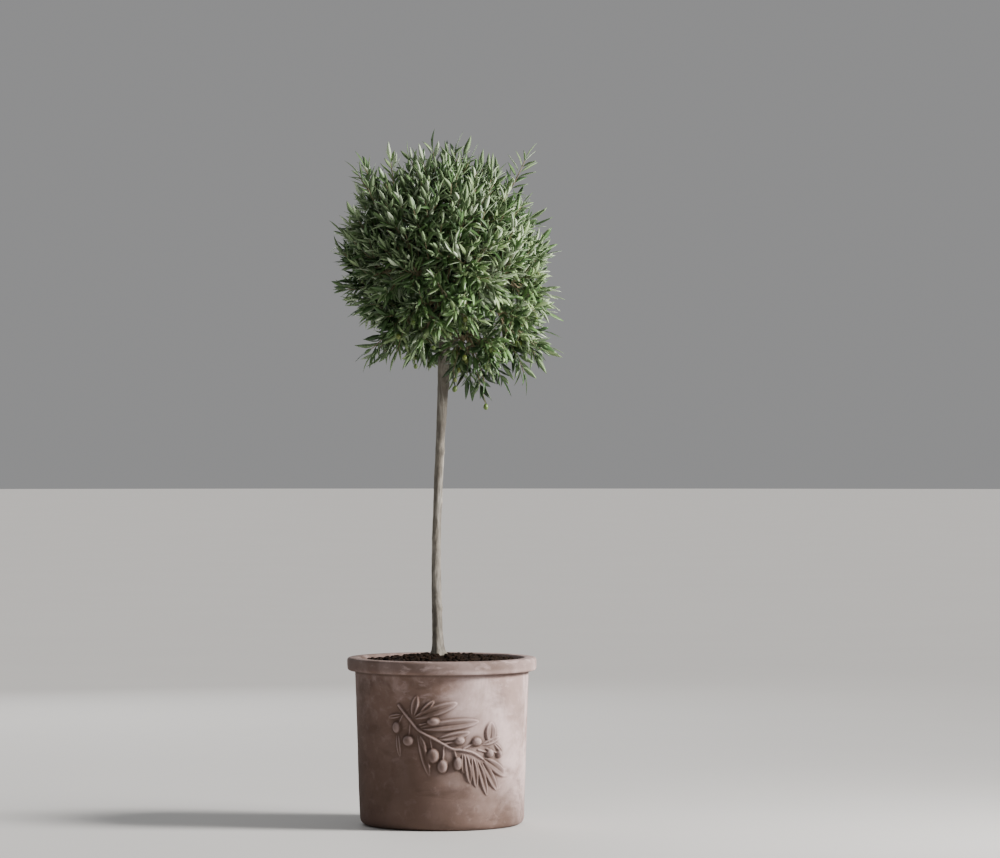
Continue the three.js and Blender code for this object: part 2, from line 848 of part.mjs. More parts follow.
// A point moved round the crown towards its mass's middle until it is well inside the mass's space.
function drawnInside(mass, place, margin) {
  const from = place.clone().sub(crownCentre);
  const distance = from.length();
  const inside = place.clone();
  for (let step = 0; step < CROWN.drawSteps && !insideSpace(mass, [inside], margin); step++) {
    from.addScaledVector(mass.direction, distance * CROWN.drawShare).setLength(distance);
    inside.copy(crownCentre).add(from);
  }
  return inside;
}

// The centre line of a shoot's twig, from inside the core to its tip.
function shootLine(mass, tip) {
  const away = tip.clone().sub(mass.core);
  const root = mass.core.clone().addScaledVector(away, SHOOT.rootAt);
  const bend = root
    .clone()
    .lerp(tip, SHOOT.bendAt)
    .addScaledVector(UP, -CROWN.lift * away.length());
  return new THREE.QuadraticBezierCurve3(
    root,
    drawnInside(mass, bend, CROWN.twigAside),
    tip,
  );
}

function lineFits(mass, limbs, line) {
  const samples = line.getPoints(SHOOT.samples);
  return insideSpace(mass, samples, SHOOT.aside) && !touchesLimb(limbs, samples, SHOOT.offLimb);
}

// A shoot's twig with the leaves that fit. What is taken holds the leaves made so far.
function shoot(mass, limbs, taken, { line, pairs, firstPair, reachOver, olive }, random) {
  const fitted = (leaf) => fittedLeaf(mass, limbs, taken, reachOver, leaf);
  const end = endLeaf(line, random);
  const twig = leafyTwig(line, fitted(end) ?? budCorners(end));
  const leaves = sideLeaves(line, pairs, firstPair, random).map(fitted).filter(Boolean);
  const olives = olive ? oliveSolids(mass, twigPoint(line, OLIVE.along)) : [];
  return [twig, ...leaves.map(leafSolid), ...olives];
}

// An olive on its stalk, hung straight down from a twig, or none where it would leave the space.
function oliveSolids(mass, from) {
  const { length, width, stalk, stalkRadius } = OLIVE;
  const top = from.clone().addScaledVector(UP, -stalk);
  const middle = top.clone().addScaledVector(UP, -length * OLIVE.middle);
  const bottom = top.clone().addScaledVector(UP, -length);
  if (!insideSpace(mass, [middle, bottom], width / 2)) return [];
  const fruit = new THREE.IcosahedronGeometry(1, 0);
  fruit.scale(width / 2, width / 2, length / 2);
  fruit.translate(middle.x, middle.y, middle.z);
  const line = new THREE.LineCurve3(from, top);
  return [solidOf(taper(line, stalkRadius, stalkRadius, 3, 1)), solidOf(fruit)];
}

// Evenly spread directions over the whole crown, by the golden angle.
function evenDirections(count) {
  const golden = Math.PI * (3 - Math.sqrt(5));
  return Array.from({ length: count }, (_, i) => {
    const height = 1 - (2 * (i + 0.5)) / count;
    const level = Math.sqrt(1 - height * height);
    return new THREE.Vector3(
      level * Math.cos(i * golden),
      level * Math.sin(i * golden),
      height,
    );
  });
}

const shootDirections = evenDirections(CROWN.shoots);

// The shoots of a mass: an even share of the crown's, and any that stand out of its outline.
function shootsOf(mass, random) {
  const even = shootDirections
    .filter((direction) => nearestMass(direction) === mass)
    .map((direction) => {
      const share = mix(...SHOOT.reach, random());
      const reach = reachTowards(direction) * share - LEAF.length * SHOOT.endLeaf;
      const end = crownCentre.clone().addScaledVector(direction, reach);
      const tip = drawnInside(mass, end, CROWN.twigAside);
      return { tip, pairs: SHOOT.pairs, firstPair: SHOOT.firstPair, reachOver: CROWN.ragged };
    })
    .sort((one, other) => one.tip.z - other.tip.z)
    .map((shape, rank) => ({ ...shape, olive: rank < (OLIVES[mass.name] ?? 0) }));
  const stray = STRAY_SHOOTS.filter((shoot) => shoot.mass === mass.name).map(
    ({ tip: end, pairs }) => {
      const tip = point(end);
      const inwards = crownCentre.clone().sub(tip).normalize();
      tip.addScaledVector(inwards, LEAF.length * SHOOT.endLeaf);
      return { tip, pairs, firstPair: SHOOT.strayFirstPair, reachOver: SHOOT.strayOver };
    },
  );
  return [...even, ...stray];
}

// A whole mass of foliage: core, stem, shoots with their leaves, and fruit, joined into one body.
function massSolid(mass, order, limbs, limbLine) {
  const random = seeded(CROWN.seed + order);
  const line = stemLine(mass, limbLine);
  const shoots = shootsOf(mass, random)
    .map((shape) => ({ ...shape, line: shootLine(mass, shape.tip) }))
    .filter((shape) => lineFits(mass, limbs, shape.line));
  const taken = [];
  const parts = [
    coreSolid(mass, limbs, random),
    solidOf(taper(line, STEM.rootRadius, STEM.tipRadius, STEM.sides, STEM.steps)),
    ...shoots.flatMap((shape) => shoot(mass, limbs, taken, shape, random)),
  ];
  return largestBody(join(parts).subtract(limbSpace).simplify(FINEST));
}

// The whole tree

const FINISH = {
  clay: { color: COLOURS.clay, roughness: 0.85, metalness: 0 },
  soil: { color: COLOURS.soil, roughness: 1, metalness: 0 },
  bark: { color: COLOURS.bark, roughness: 0.9, metalness: 0 },
  foliage: { color: COLOURS.foliage, roughness: 0.6, metalness: 0 },
};

function named(name, solid, finish) {
  const mesh = new THREE.Mesh(
    geometryOf(solid),
    new THREE.MeshStandardMaterial(FINISH[finish]),
  );
  mesh.name = name;
  return mesh;
}

const tree = new THREE.Group();
tree.add(named("pot", potSolid(), "clay"));
tree.add(named("soil", soilSolid(), "soil"));
tree.add(named("trunk", solidOf(trunkGeometry(0)), "bark"));

// What the limbs made so far take up, with the gap that the next one keeps to them.
let limbSpace = solidOf(trunkGeometry(GAP));
const limbs = lengthsOf(trunkLine, trunkRadius, TRUNK.steps * 2);
const limbLines = new Map();

MASSES.forEach((mass, order) => {
  if (mass.name === "top") {
    limbLines.set(mass, trunkLine);
    return;
  }
  const line = boughLine(mass, order);
  limbLines.set(mass, line);
  limbs.push(
    ...lengthsOf(line, (share) => mix(BOUGH.rootRadius, BOUGH.tipRadius, share), BOUGH.steps),
  );
  const bough = boughSolid(line, 0).subtract(limbSpace);
  tree.add(named(`bough_${mass.name}`, largestBody(bough), "bark"));
  limbSpace = limbSpace.add(boughSolid(line, GAP));
});

MASSES.forEach((mass, order) => {
  tree.add(
    named(
      `foliage_${mass.name}`,
      massSolid(mass, order, limbs, limbLines.get(mass)),
      "foliage",
    ),
  );
});

export default tree;
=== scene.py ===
"""Potted olive tree: a ball-headed standard in a thick-rimmed clay pot with an olive-sprig relief.

Metres, +Z up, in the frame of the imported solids. The front of the pot faces -Y. The tree grows from
the trunk's line and the reach of each mass of foliage, as the solids do, down to single leaves.
"""

import functools
import math

import bmesh
import bpy
import numpy as np
from bpy.props import FloatProperty, FloatVectorProperty, IntProperty, PointerProperty
from bpy.types import Operator, Panel, PropertyGroup
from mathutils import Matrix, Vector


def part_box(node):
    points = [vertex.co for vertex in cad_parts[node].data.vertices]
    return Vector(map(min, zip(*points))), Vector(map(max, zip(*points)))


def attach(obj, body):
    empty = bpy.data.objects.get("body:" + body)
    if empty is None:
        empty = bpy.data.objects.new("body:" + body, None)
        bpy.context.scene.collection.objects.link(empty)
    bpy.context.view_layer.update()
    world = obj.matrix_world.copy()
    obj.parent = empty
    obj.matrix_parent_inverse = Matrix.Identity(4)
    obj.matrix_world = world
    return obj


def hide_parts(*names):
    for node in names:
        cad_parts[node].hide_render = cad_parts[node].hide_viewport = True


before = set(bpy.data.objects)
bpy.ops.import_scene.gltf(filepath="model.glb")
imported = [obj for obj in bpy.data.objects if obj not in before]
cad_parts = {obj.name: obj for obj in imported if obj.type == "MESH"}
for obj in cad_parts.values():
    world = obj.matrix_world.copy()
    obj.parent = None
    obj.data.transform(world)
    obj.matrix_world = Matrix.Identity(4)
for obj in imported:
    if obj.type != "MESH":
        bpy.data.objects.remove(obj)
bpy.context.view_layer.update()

bl_info = {
    "name": "Potted Olive Tree",
    "version": (1, 0, 0),
    "blender": (4, 5, 0),
    "location": "3D View > Sidebar > Olive Tree",
    "description": "Dresses the solids of a potted olive tree with clay, soil, bark, leaves and fruit",
    "category": "Add Mesh",
}

_, POT_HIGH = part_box("pot")
BODY = "root"
ACROSS = np.array([1.0, 0.0, 0.0])
UP = np.array([0.0, 0.0, 1.0])
NEARLY_UPRIGHT = 0.9
GOLDEN_ANGLE = math.pi * (3 - math.sqrt(5))

# Where the random numbers of each part start
SEEDS = {
    "pot": 3,
    "crumb": 5,
    "soil": 11,
    "crumbs": 21,
    "ridges": 31,
    "swell": 33,
    "limbs": 41,
    "lumps": 61,
    "leaves": 7,
    "olives": 13,
}

# The pot's outline, as distances from its axis and heights. The rim's middle stands out by its
# belly, and corners keep a small ease from each other.
RIM_HEIGHT = 0.035
RIM_ROUND = 0.008
RIM_FILLET = 0.003
RIM_BELLY = 0.0005
EASE = 0.001
MOUTH_RADIUS = 0.214
MOUTH_ROUND = 0.006
MOUTH_CROWN = 0.0002
MOUTH_DEPTH = 0.016
TOP_RADIUS = 0.226
FOOT_RADIUS = 0.213
FOOT_ROUND = 0.022
WALL = 0.023
FLOOR = 0.026
CORNER_STEPS = 6

# The rows at the end of the outline that are inside the mouth, and how near the axis it is smooth
INNER_ROWS = 8
AXIS_CLEAR = 0.020

# The hand-finished surface: the depth and size of its waves and ripples, the share of them that is
# left where the relief is higher than a limit, and how far the whole is drawn in, so that it keeps
# to the solid
WAVES = [(0.0007, 0.11), (0.00025, 0.018)]
WAVES_ON_RELIEF = 0.3
RELIEF_LIMIT = 0.001
DRAWN_IN = 0.0005

# The part of the wall that the relief covers, across from the front's middle and up
RELIEF_ACROSS = (-0.150, 0.185)
RELIEF_UP = (0.075, 0.352)
RELIEF_STEP = 0.0014
WALL_STEP = 0.009

# How often the relief is blurred to find its narrow hollows and the parts round it, which take
# painted shade, and the depths at which each counts in full
SHADED_HOLLOW_BLUR = 16
SHADED_HOLLOW_FULL = 0.0024
RELIEF_SHADE_BLUR = 150
RELIEF_SHADE_FULL = 0.0030

# How strongly each kind of weathering and of painted light and shade shows on the clay at its full; the
# rim's is partly its weathered colour and partly painted shade
CLAY_SHARES = {
    "rim": 0.75,
    "bloom": 0.70,
    "bloom_anywhere": 0.10,
    "wisps": 0.38,
    "stains": 0.85,
    "flecks": 0.22,
    "painted_shade_left": 0.70,
    "painted_shade_round_relief": 0.62,
    "hollow": 0.75,
    "worn": 0.35,
    "shadow_under_rim": 0.75,
}

# How much a point's place across counts beside its height: in what is weathered, partly painted light
# to the upper right, and in what escapes the painted shade of the foot and left, and how much its
# height counts beside its place across in the painted light on the right
WEATHERED_AND_LIT_ACROSS = 0.7
UNSHADED_ACROSS = 1.2
LIT_RIGHT_UP = 0.35

# What the rim takes from the bloom and from the painted light on the right, so that its painted shade
# stays, what weathering and painted light take from stains, and how much of the painted light on the
# right shows outside the bloom and in it
BLOOM_OFF_RIM = 0.65
LIT_RIGHT_OFF_RIM = 0.09
STAINS_WORN_OFF = 0.42
LIT_RIGHT_BARE = 0.32
LIT_RIGHT_IN_BLOOM = 0.30

# Where weathering and painted light and shade begin and are full, for those mixes of places in metres
# and for the values of the relief
CLAY_LIMITS = {
    "weathered": (0.03, 0.44),
    "painted_light_right": (0.15, 0.31),
    "unshaded": (-0.05, 0.30),
    "painted_shade_round_relief": (0.15, 0.95),
    "hollow": (0.0, 0.8),
    "worn": (0.1, 1.0),
}

# The soft-edged patches of weathering on the clay; the bloom's also strengthen the painted light on the
# right
CLAY_PATCHES = {
    "bloom": {"Scale": 5.5, "Stretch": 1.6, "Low": 0.42, "High": 0.68},
    "wisps": {"Scale": 19.0, "Stretch": 0.45, "Low": 0.53, "High": 0.66},
    "stains": {"Scale": 9.0, "Stretch": 0.6, "Low": 0.50, "High": 0.72},
    "flecks": {"Scale": 38.0, "Stretch": 1.0, "Low": 0.52, "High": 0.75},
}

# The band of painted shadow under the rim: where it begins below the rim, is full and ends above it
RIM_SHADOW = (-0.012, -0.001, 0.003)

# The relief: places are the distance along the wall to the right of the front's middle, and the height
RELIEF_STEM = [
    (-0.111, 0.322),
    (-0.079, 0.284),
    (-0.056, 0.259),
    (-0.013, 0.235),
    (0.029, 0.212),
    (0.051, 0.209),
    (0.083, 0.201),
    (0.111, 0.184),
]
SPRIG_WIDTH = 0.0084
SPRIG_HEIGHT = 0.0072
SPRIG_TAPER = 0.4
SPRIG_STEPS = 40

# Each relief leaf: its foot, its direction in degrees up from the right, its length and its width
RELIEF_LEAVES = [
    ((-0.054, 0.299), 44, 0.050, 0.017),
    ((-0.072, 0.294), 79, 0.054, 0.021),
    ((-0.071, 0.289), 19, 0.119, 0.028),
    ((-0.054, 0.264), 6, 0.155, 0.029),
    ((-0.009, 0.236), 11, 0.085, 0.021),
    ((-0.101, 0.297), 190, 0.043, 0.012),
    ((-0.116, 0.252), 277, 0.064, 0.013),
    ((-0.054, 0.248), 291, 0.048, 0.012),
    ((-0.058, 0.252), 285, 0.114, 0.021),
    ((0.058, 0.200), 270, 0.052, 0.014),
    ((0.065, 0.197), 278, 0.076, 0.018),
    ((0.083, 0.190), 277, 0.079, 0.019),
    ((0.096, 0.181), 287, 0.096, 0.020),
    ((0.109, 0.178), 301, 0.090, 0.024),
    ((0.112, 0.186), 327, 0.092, 0.029),
    ((0.133, 0.223), 86, 0.054, 0.034),
    ((0.109, 0.220), 18, 0.058, 0.016),
    ((0.145, 0.225), 317, 0.044, 0.012),
]
LEAF_RELIEF = 0.0085
VEIN_DEPTH = 0.0038
VEIN_WIDTH = 0.0016

# Each relief olive: its middle, its width and height, and where its stalk starts
RELIEF_OLIVES = [
    ((-0.117, 0.265), 0.023, 0.031, (-0.099, 0.298)),
    ((-0.084, 0.232), 0.031, 0.029, (-0.079, 0.275)),
    ((-0.019, 0.281), 0.033, 0.023, (-0.055, 0.273)),
    ((-0.020, 0.194), 0.031, 0.038, (-0.027, 0.243)),
    ((0.004, 0.167), 0.027, 0.035, (0.008, 0.219)),
    ((0.043, 0.174), 0.023, 0.035, (0.034, 0.211)),
    ((0.048, 0.233), 0.027, 0.022, (0.008, 0.224)),
    ((0.094, 0.229), 0.027, 0.022, (0.058, 0.212)),
    ((0.131, 0.198), 0.022, 0.023, (0.098, 0.208)),
    ((0.161, 0.195), 0.016, 0.020, (0.122, 0.210)),
]
OLIVE_RELIEF = 0.0125
STALK_WIDTH = 0.0042
STALK_HEIGHT = 0.0042

# The soil's mound: its middle is level out to a share of the mouth
SOIL_EDGE = POT_HIGH.z - 0.011
SOIL_MOUND = 0.015
SOIL_LEVEL_SHARE = 0.2
SOIL_DEPTH = 0.08
SOIL_GAP = 0.002
SOIL_FIRST_RING = 0.012
SOIL_RINGS = 70
SOIL_SIDES = 220

# Lumps of the soil's top: their depth and size. It is smooth under the trunk.
CLODS = [(0.0034, 0.021), (0.0022, 0.008), (0.0010, 0.0035)]
CLODS_FROM = 0.026

# Crumbs: the shares of the mouth's area between which they lie, their least radius, the range of
# their sizes and shapes, the depth and size of their lumps and how far apart their noise is taken,
# how high their middles lie above the mound, and how many are small stones
CRUMB_AREA = (0.02, 0.93)
CRUMB_LEAST = 0.0012
CRUMB_SIZES = (0.2, 1.0)
CRUMB_SHAPES = ((0.7, 0.7, 0.5), (1.2, 1.2, 0.9))
CRUMB_LUMPS = 0.3
CRUMB_LUMP_SIZE = 1.7 / 3
CRUMB_APART = 7.3 / 3
CRUMB_RISE = 0.25
STONE_SHARE = 0.16

# The trunk's centre line from the soil to the top of its leader, and its radius at each point
TRUNK_LINE = np.array([
    (-0.009, 0.004, 0.4383, 0.0220),
    (-0.010, 0.005, 0.462, 0.0155),
    (-0.012, 0.007, 0.520, 0.0130),
    (-0.015, 0.008, 0.680, 0.0120),
    (-0.011, 0.006, 0.842, 0.0110),
    (-0.004, 0.000, 1.000, 0.0117),
    (0.002, -0.004, 1.120, 0.0142),
    (0.005, -0.004, 1.205, 0.0155),
    (0.007, -0.002, 1.290, 0.0110),
    (0.009, 0.001, 1.400, 0.0080),
    (0.008, 0.000, 1.530, 0.0050),
])
TRUNK_ROWS = 560
TRUNK_FINE = 400
TRUNK_COARSE = 120
TRUNK_SIDES = 44
TRUNK_MEAN_RADIUS = 0.012
FLARE_LOBES = 4
FLARE_TURN = 0.6
FLARE_DEPTH = 0.16
FLARE_HEIGHT = 0.060

# Ridges of the bark: their share and size, how far the height is squashed for their noise, so that
# they run along the trunk, and their depth
RIDGES = [(0.55, 0.0042), (0.45, 0.0019)]
RIDGE_SQUASH = 0.22
RIDGE_DEPTH = 0.00075

# Slow swellings of the trunk: their size, how far the height is squashed, and their depth
SWELL_SIZE = 0.03
SWELL_SQUASH = 0.6
SWELL_DEPTH = 0.0009

# Scars of pruned shoots on the trunk: height, direction in degrees about it, width and swelling
TRUNK_SCARS = [
    (0.560, 250, 0.011, 0.0030),
    (0.655, 20, 0.009, 0.0022),
    (0.742, 140, 0.010, 0.0026),
    (0.835, 285, 0.010, 0.0026),
    (0.905, 60, 0.008, 0.0020),
    (0.968, 235, 0.011, 0.0030),
    (1.043, 310, 0.009, 0.0024),
    (1.098, 180, 0.012, 0.0032),
    (1.140, 262, 0.013, 0.0034),
]

# How fast a scar falls off against its width, and the share and the fall of its middle's dimple
SCAR_FALL = 2.2
DIMPLE_SHARE = 0.45
DIMPLE_FALL = 14

# The crown's centre, where the middle of a mass lies as a share of its reach, and how sharply the
# reaches of neighbouring masses give way to each other
CROWN_CENTRE = np.array([0.008, 0.0, 1.460])
CORE_SHARE = 0.48
BLEND = 14.0

# The masses of foliage: azimuth about +Z from +X and elevation, in degrees from the crown's centre,
# and the reach to the furthest tips
MASSES = {
    "top": (150, 80, 0.300),
    "upper_right": (12, 40, 0.276),
    "upper_back_right": (72, 38, 0.290),
    "upper_back_left": (128, 42, 0.290),
    "upper_left": (186, 38, 0.308),
    "upper_front_left": (243, 41, 0.292),
    "upper_front_right": (304, 39, 0.290),
    "right": (350, -8, 0.292),
    "back_right": (46, -3, 0.284),
    "back_left": (108, -1, 0.282),
    "left": (172, -6, 0.302),
    "front_left": (230, -2, 0.286),
    "front_right": (292, -4, 0.284),
    "low_right": (352, -42, 0.374),
    "low_back_right": (64, -46, 0.285),
    "low_back_left": (132, -45, 0.280),
    "low_left": (200, -48, 0.302),
    "low_front": (262, -47, 0.282),
    "hanging": (342, -71, 0.392),
}
MASS_NAMES = list(MASSES)

# Shoots that stand out of the crown's outline: the places of their tips, by their mass
STRAY_SHOOTS = [
    ("upper_right", [
        (0.236, -0.038, 1.771), (0.186, 0.020, 1.708), (0.146, -0.030, 1.736), (0.266, -0.020, 1.600),
    ]),
    ("upper_left", [
        (-0.241, -0.040, 1.732), (-0.219, -0.010, 1.752), (-0.205, 0.030, 1.738), (-0.137, -0.050, 1.770),
    ]),
    ("top", [
        (-0.100, 0.010, 1.776), (-0.057, -0.060, 1.766), (-0.024, -0.020, 1.799), (0.012, 0.030, 1.776),
        (0.045, -0.015, 1.796), (0.071, 0.020, 1.785), (0.090, -0.060, 1.760),
    ]),
    ("upper_right", [
        (0.104, -0.020, 1.754), (0.122, 0.030, 1.744), (0.134, -0.060, 1.738), (0.280, -0.010, 1.578),
    ]),
    ("right", [
        (0.300, -0.030, 1.500), (0.306, -0.030, 1.392), (0.312, -0.035, 1.345), (0.314, 0.020, 1.318),
        (0.297, 0.000, 1.516), (0.322, 0.010, 1.372),
    ]),
    ("low_right", [
        (0.309, -0.010, 1.280), (0.298, -0.040, 1.232), (0.296, 0.010, 1.204), (0.290, -0.040, 1.190),
        (0.268, -0.030, 1.172), (0.228, -0.030, 1.122), (0.208, -0.050, 1.158),
    ]),
    ("hanging", [
        (0.182, -0.040, 1.154), (0.154, -0.050, 1.160),
    ]),
    ("low_left", [
        (-0.210, -0.046, 1.186), (-0.196, -0.030, 1.176), (-0.168, -0.030, 1.174), (-0.148, -0.060, 1.188),
        (-0.126, -0.060, 1.174),
    ]),
    ("low_front", [
        (-0.090, -0.090, 1.172),
    ]),
    ("hanging", [
        (0.066, -0.040, 1.110), (0.108, -0.030, 1.088), (0.078, -0.020, 1.100), (0.122, -0.050, 1.094),
        (0.176, -0.030, 1.116),
    ]),
]

# How steeply a bough rises, for masses above each elevation in degrees
BOUGH_SLOPES = [(20, 1.45), (-20, 0.9), (-90, 0.5)]

# The heights that boughs leave the trunk at and how these are spread, how much a bough bows, how
# far it stops short of the middle of its mass, and where along it the bow is
BOUGH_LOWEST = 1.196
BOUGH_HIGHEST = 1.440
BOUGH_SPREAD = 0.009
BOUGH_BOW = 0.1
BOUGH_SHORT = 0.42
BOUGH_BEND = 0.55
BOUGH_POINTS = 16
BOUGH_RADII = (0.0076, 0.0046)

# The stem that carries a mass on from its bough: how soon it bends, as a share of its length
STEM_BEND = 0.4
STEM_POINTS = 10
STEM_RADII = (0.0046, 0.0026)

# The limb of the top mass is the end of the trunk: so many of so many rows of it
TOP_KEPT = 3
TOP_ROWS = 60

# The bark of a limb: its sides, the share and size of its ridges, and the radius of the limb and
# the distance between its points on which the ridges are laid out
LIMB_SIDES = 12
LIMB_RIDGES = [(0.07, 0.006)]
LIMB_MEAN_RADIUS = 0.008
LIMB_STEP = 0.004

# Leading shoots: how far they reach as a share of the crown's reach, the share of a leaf that they
# stop short by, where they start as a share of their way, how they bend and lift, and the height
# below which they hang under their fruit
SHOOT_COUNT = 80
SHOOT_REACH = 0.965
SHOOT_SHORT = 0.9
STRAY_SHORT = 0.88
SHOOT_START = 0.06
SHOOT_LIFT = 0.12
SHOOT_BEND = 0.6
SHOOT_POINTS = 15
SHOOT_RADII = (0.0024, 0.0011)
SHOOT_SIDES = 7
FRUIT_HEIGHT = 1.22

# Below this height the trunk is bare: twigs that end there keep this far from it
BARE_BELOW = 1.19
BARE_ASIDE = 0.045

# The layers that twigs fill: the share of the crown's reach and the share of the twigs. Each layer
# is turned against the last, and leaves may reach a little out of the crown.
TWIG_LAYERS = [(0.95, 0.50), (0.77, 0.32), (0.56, 0.18)]
LAYER_TURN = 1.1
RAGGED = 0.012

# Twigs: their scatter, the range of their reach, how far they are drawn towards the nearest leading
# shoot so that they stand in sprays, and the share of a leaf that they stop short by
TWIG_SCATTER = 0.05
TWIG_RANGE = (-0.055, 0.03)
SPRAY_PULL = 0.35
TWIG_SHORT = 0.8

# A twig grows from the point of a shoot that is nearest to a place this far behind its tip. A shoot
# of another mass counts as further off, and the first points of a shoot bear none.
TWIG_BEHIND = 0.075
OTHER_MASS = 0.06
SHOOT_BARE = 3

# A twig's bend: how far on from its root and back from its tip, as shares of its length, and the
# weights of these two places
TWIG_ON = 0.4
TWIG_BACK = 0.5
TWIG_WEIGHTS = (0.4, 0.6)
TWIG_POINTS = 7
TWIG_RADII = (0.0013, 0.0006)
TWIG_SIDES = 5

# How twigs end: how far they rise over most of the crown, how far they spread and rise underneath
# it, where its underside begins and over how much it comes in, and their scatter
HABIT_RISE = (0.35, 1.15)
UNDER_SPREAD = 0.55
UNDER_RISE = (-0.3, 0.35)
UNDER_FROM = 0.15
UNDER_FULL = 0.45
HABIT_SCATTER = 0.16

# Leaders: upright shoots that stand out of the upper crown. Their reach is a share of the crown's.
LEADER_COUNT = 190
LEADER_TURN = 0.7
LEADER_SCATTER = 0.08
LEADER_RISE = 0.9
LEADER_LEAN = 0.12
LEADER_REACH = (0.97, 1.09)
LEADER_SHORT = 0.8
LEADER_LOWEST = 0.05
LEADER_LENGTH = 0.14
LEADER_SET_IN = 0.02
LEADER_BOW = 0.006
LEADER_POINTS = 9

# Leaders keep out of the hollows that are deeper than this
LEADER_HOLLOW = 0.08

# For each kind of twig: the bare share of its length, the size of its end leaf, and whether its
# leaves may stand out of the crown
LEAFY = {
    "shoot": (0.6, 0.75, False),
    "stray": (0.45, 0.95, True),
    "leader": (0.3, 0.8, True),
    "twig": (0.16, 0.75, False),
}

# Pairs of leaves: how far the last is from the tip, the scatter of their turn, the sizes and leans
# of leaves, and the shares of both for the last pair, the one before it and all others
PAIR_FROM_TIP = (0.002, 0.006)
PAIR_SCATTER = 0.22
LEAF_SCATTER = 0.12
LEAF_SIZES = (0.68, 1.14)
LEAF_LEANS = (0.7, 1.2)
PAIR_SIZES = (0.68, 0.9, 1.0)
PAIR_LEANS = (0.55, 0.8, 1.1)
END_SIZES = (0.9, 1.1)

# How far a leaf's face turns up, the scatter of that, and the pair that is fully aged
FACE_RISE = (0.1, 0.8)
FACE_SCATTER = 0.42
END_SCATTER = 0.6
AGED_PAIR = 6

# How far the tips and the middles of leaves keep from the limbs
TIP_CLEAR = 0.002
MIDDLE_CLEAR = 0.003

# Hollows in the crown's outline: azimuth and elevation, breadth in degrees and depth as a share
HOLLOWS = [
    (192, -49, 15, 0.20),
    (180, 52, 10, 0.16),
    (0, 47, 9, 0.16),
    (4, 33, 7, 0.10),
    (100, -30, 11, 0.14),
    (60, 30, 9, 0.14),
    (140, 20, 10, 0.12),
    (280, -62, 12, 0.12),
    (335, -76, 13, 0.14),
]

# The crown's smaller lumps: their size, their depth as a share of the reach, and the most that
# their noise counts
LUMP_SIZE = 0.30
LUMP_DEPTH = 0.12
LUMP_HIGHEST = 0.3

# A leaf's stations as shares of its length, with the share of its full width at each
LEAF_STATIONS = [(0.09, 0.14), (0.29, 0.82), (0.52, 1.0), (0.79, 0.56)]
LEAF_FOLD = 0.16
LEAF_THICKNESS = 0.0007

# How leaves differ: their widths, how fast these grow with size, how far they curl back and how much
# that shortens them, and how far they bend to one side
LEAF_WIDTHS = (0.82, 1.18)
WIDTH_GROWTH = 0.6
LEAF_CURLS = (-0.05, 0.30)
CURL_SHORTENS = 0.12
LEAF_BOW = 0.06

# The side of the crown where leaves are paler and more of their pale undersides show, painted light where
# the light falls: its azimuth, elevation and breadth
SILVERY_LIT_SIDE = (330, -22, 38)

# Below this height more of the leaves are darker, painted shade low in the crown, and over this depth nearly
# all become so
SHADE_BELOW = 1.28
SHADE_DEPTH = 0.12

# A leaf's tone, in steps of its five greens: a new leaf's, and what age, the silvery side as painted
# light, the low part as painted shade, the chance of its spray and its own chance add to it
TONE = {"new": 2.6, "age": -1.5, "silvery": 1.1, "low": -2.0, "spray": 1.1, "leaf": 0.6}

# How many undersides are pale felt, and what the silvery side as painted light, the low part as painted
# shade and the spray add
FELT = {"usual": 0.22, "silvery": 0.55, "low": -0.6, "spray": 0.10}

# Where olives show below the leaves, how far above each its stalk starts at least, and which masses
# bear the other olives, with their share of them
OLIVES_SEEN = [
    (0.035, -0.050, 1.154),
    (0.034, -0.040, 1.130),
    (0.114, -0.040, 1.084),
    (-0.067, -0.080, 1.188),
    (-0.020, -0.110, 1.236),
    (0.060, -0.120, 1.210),
]
OLIVE_DROP = 0.015
FRUIT_SHARES = {"hanging": 0.32, "low_right": 0.3, "low_front": 0.16, "low_left": 0.1, "right": 0.12}

# The twigs of a mass that bear fruit, how much the lower ones are preferred, the points of a twig
# that olives hang from, the scatter and the length of their stalks
FRUIT_TWIGS = 40
FRUIT_LOW = 1.2
FRUIT_POINTS = (3, 7)
STALK_SCATTER = 0.25
STALK_LENGTHS = (0.018, 0.032)
STALK_RADIUS = 0.0005
STALK_POINTS = 6
STALK_SIDES = 5
OLIVE_SIZES = (0.82, 1.1)
RIPE_SHARE = 0.3

# The camera, set as the photograph's seems to have been: its place, lens and film width
CAMERA_PLACE = (0.151, -10.66, 1.0265)
CAMERA_LENS = 147.6
FILM_WIDTH = 36.0

# The lamps look at the tree's middle. Each has a kind, a place, a size and a colour. A sun's size is
# its angle in the sky.
LAMPS = {
    "key": ("SUN", (5.3, -0.95, 3.8), math.radians(14), (1.0, 0.97, 0.94)),
    "side": ("AREA", (2.3, -0.7, 1.5), 0.9, (1.0, 0.975, 0.95)),
    "fill": ("AREA", (-3.6, -3.4, 2.2), 3.0, (0.96, 0.98, 1.0)),
    "back": ("AREA", (-1.6, 4.6, 2.6), 3.0, (0.98, 0.99, 1.0)),
}
LIT_PLACE = (0.0, 0.0, 0.95)
SKY_COLOUR = (0.89, 0.89, 0.90, 1.0)
FLOOR_SIDES = 96


# Points, directions and noise


def unit(vectors):
    """Vectors scaled to length one, for one vector or rows of them."""
    return vectors / np.maximum(np.linalg.norm(vectors, axis=-1, keepdims=True), 1e-12)


def direction_of(azimuth, elevation):
    """The direction at an azimuth about +Z from +X and an elevation, in degrees."""
    turn, rise = math.radians(azimuth), math.radians(elevation)
    return np.array([math.cos(rise) * math.cos(turn), math.cos(rise) * math.sin(turn), math.sin(rise)])


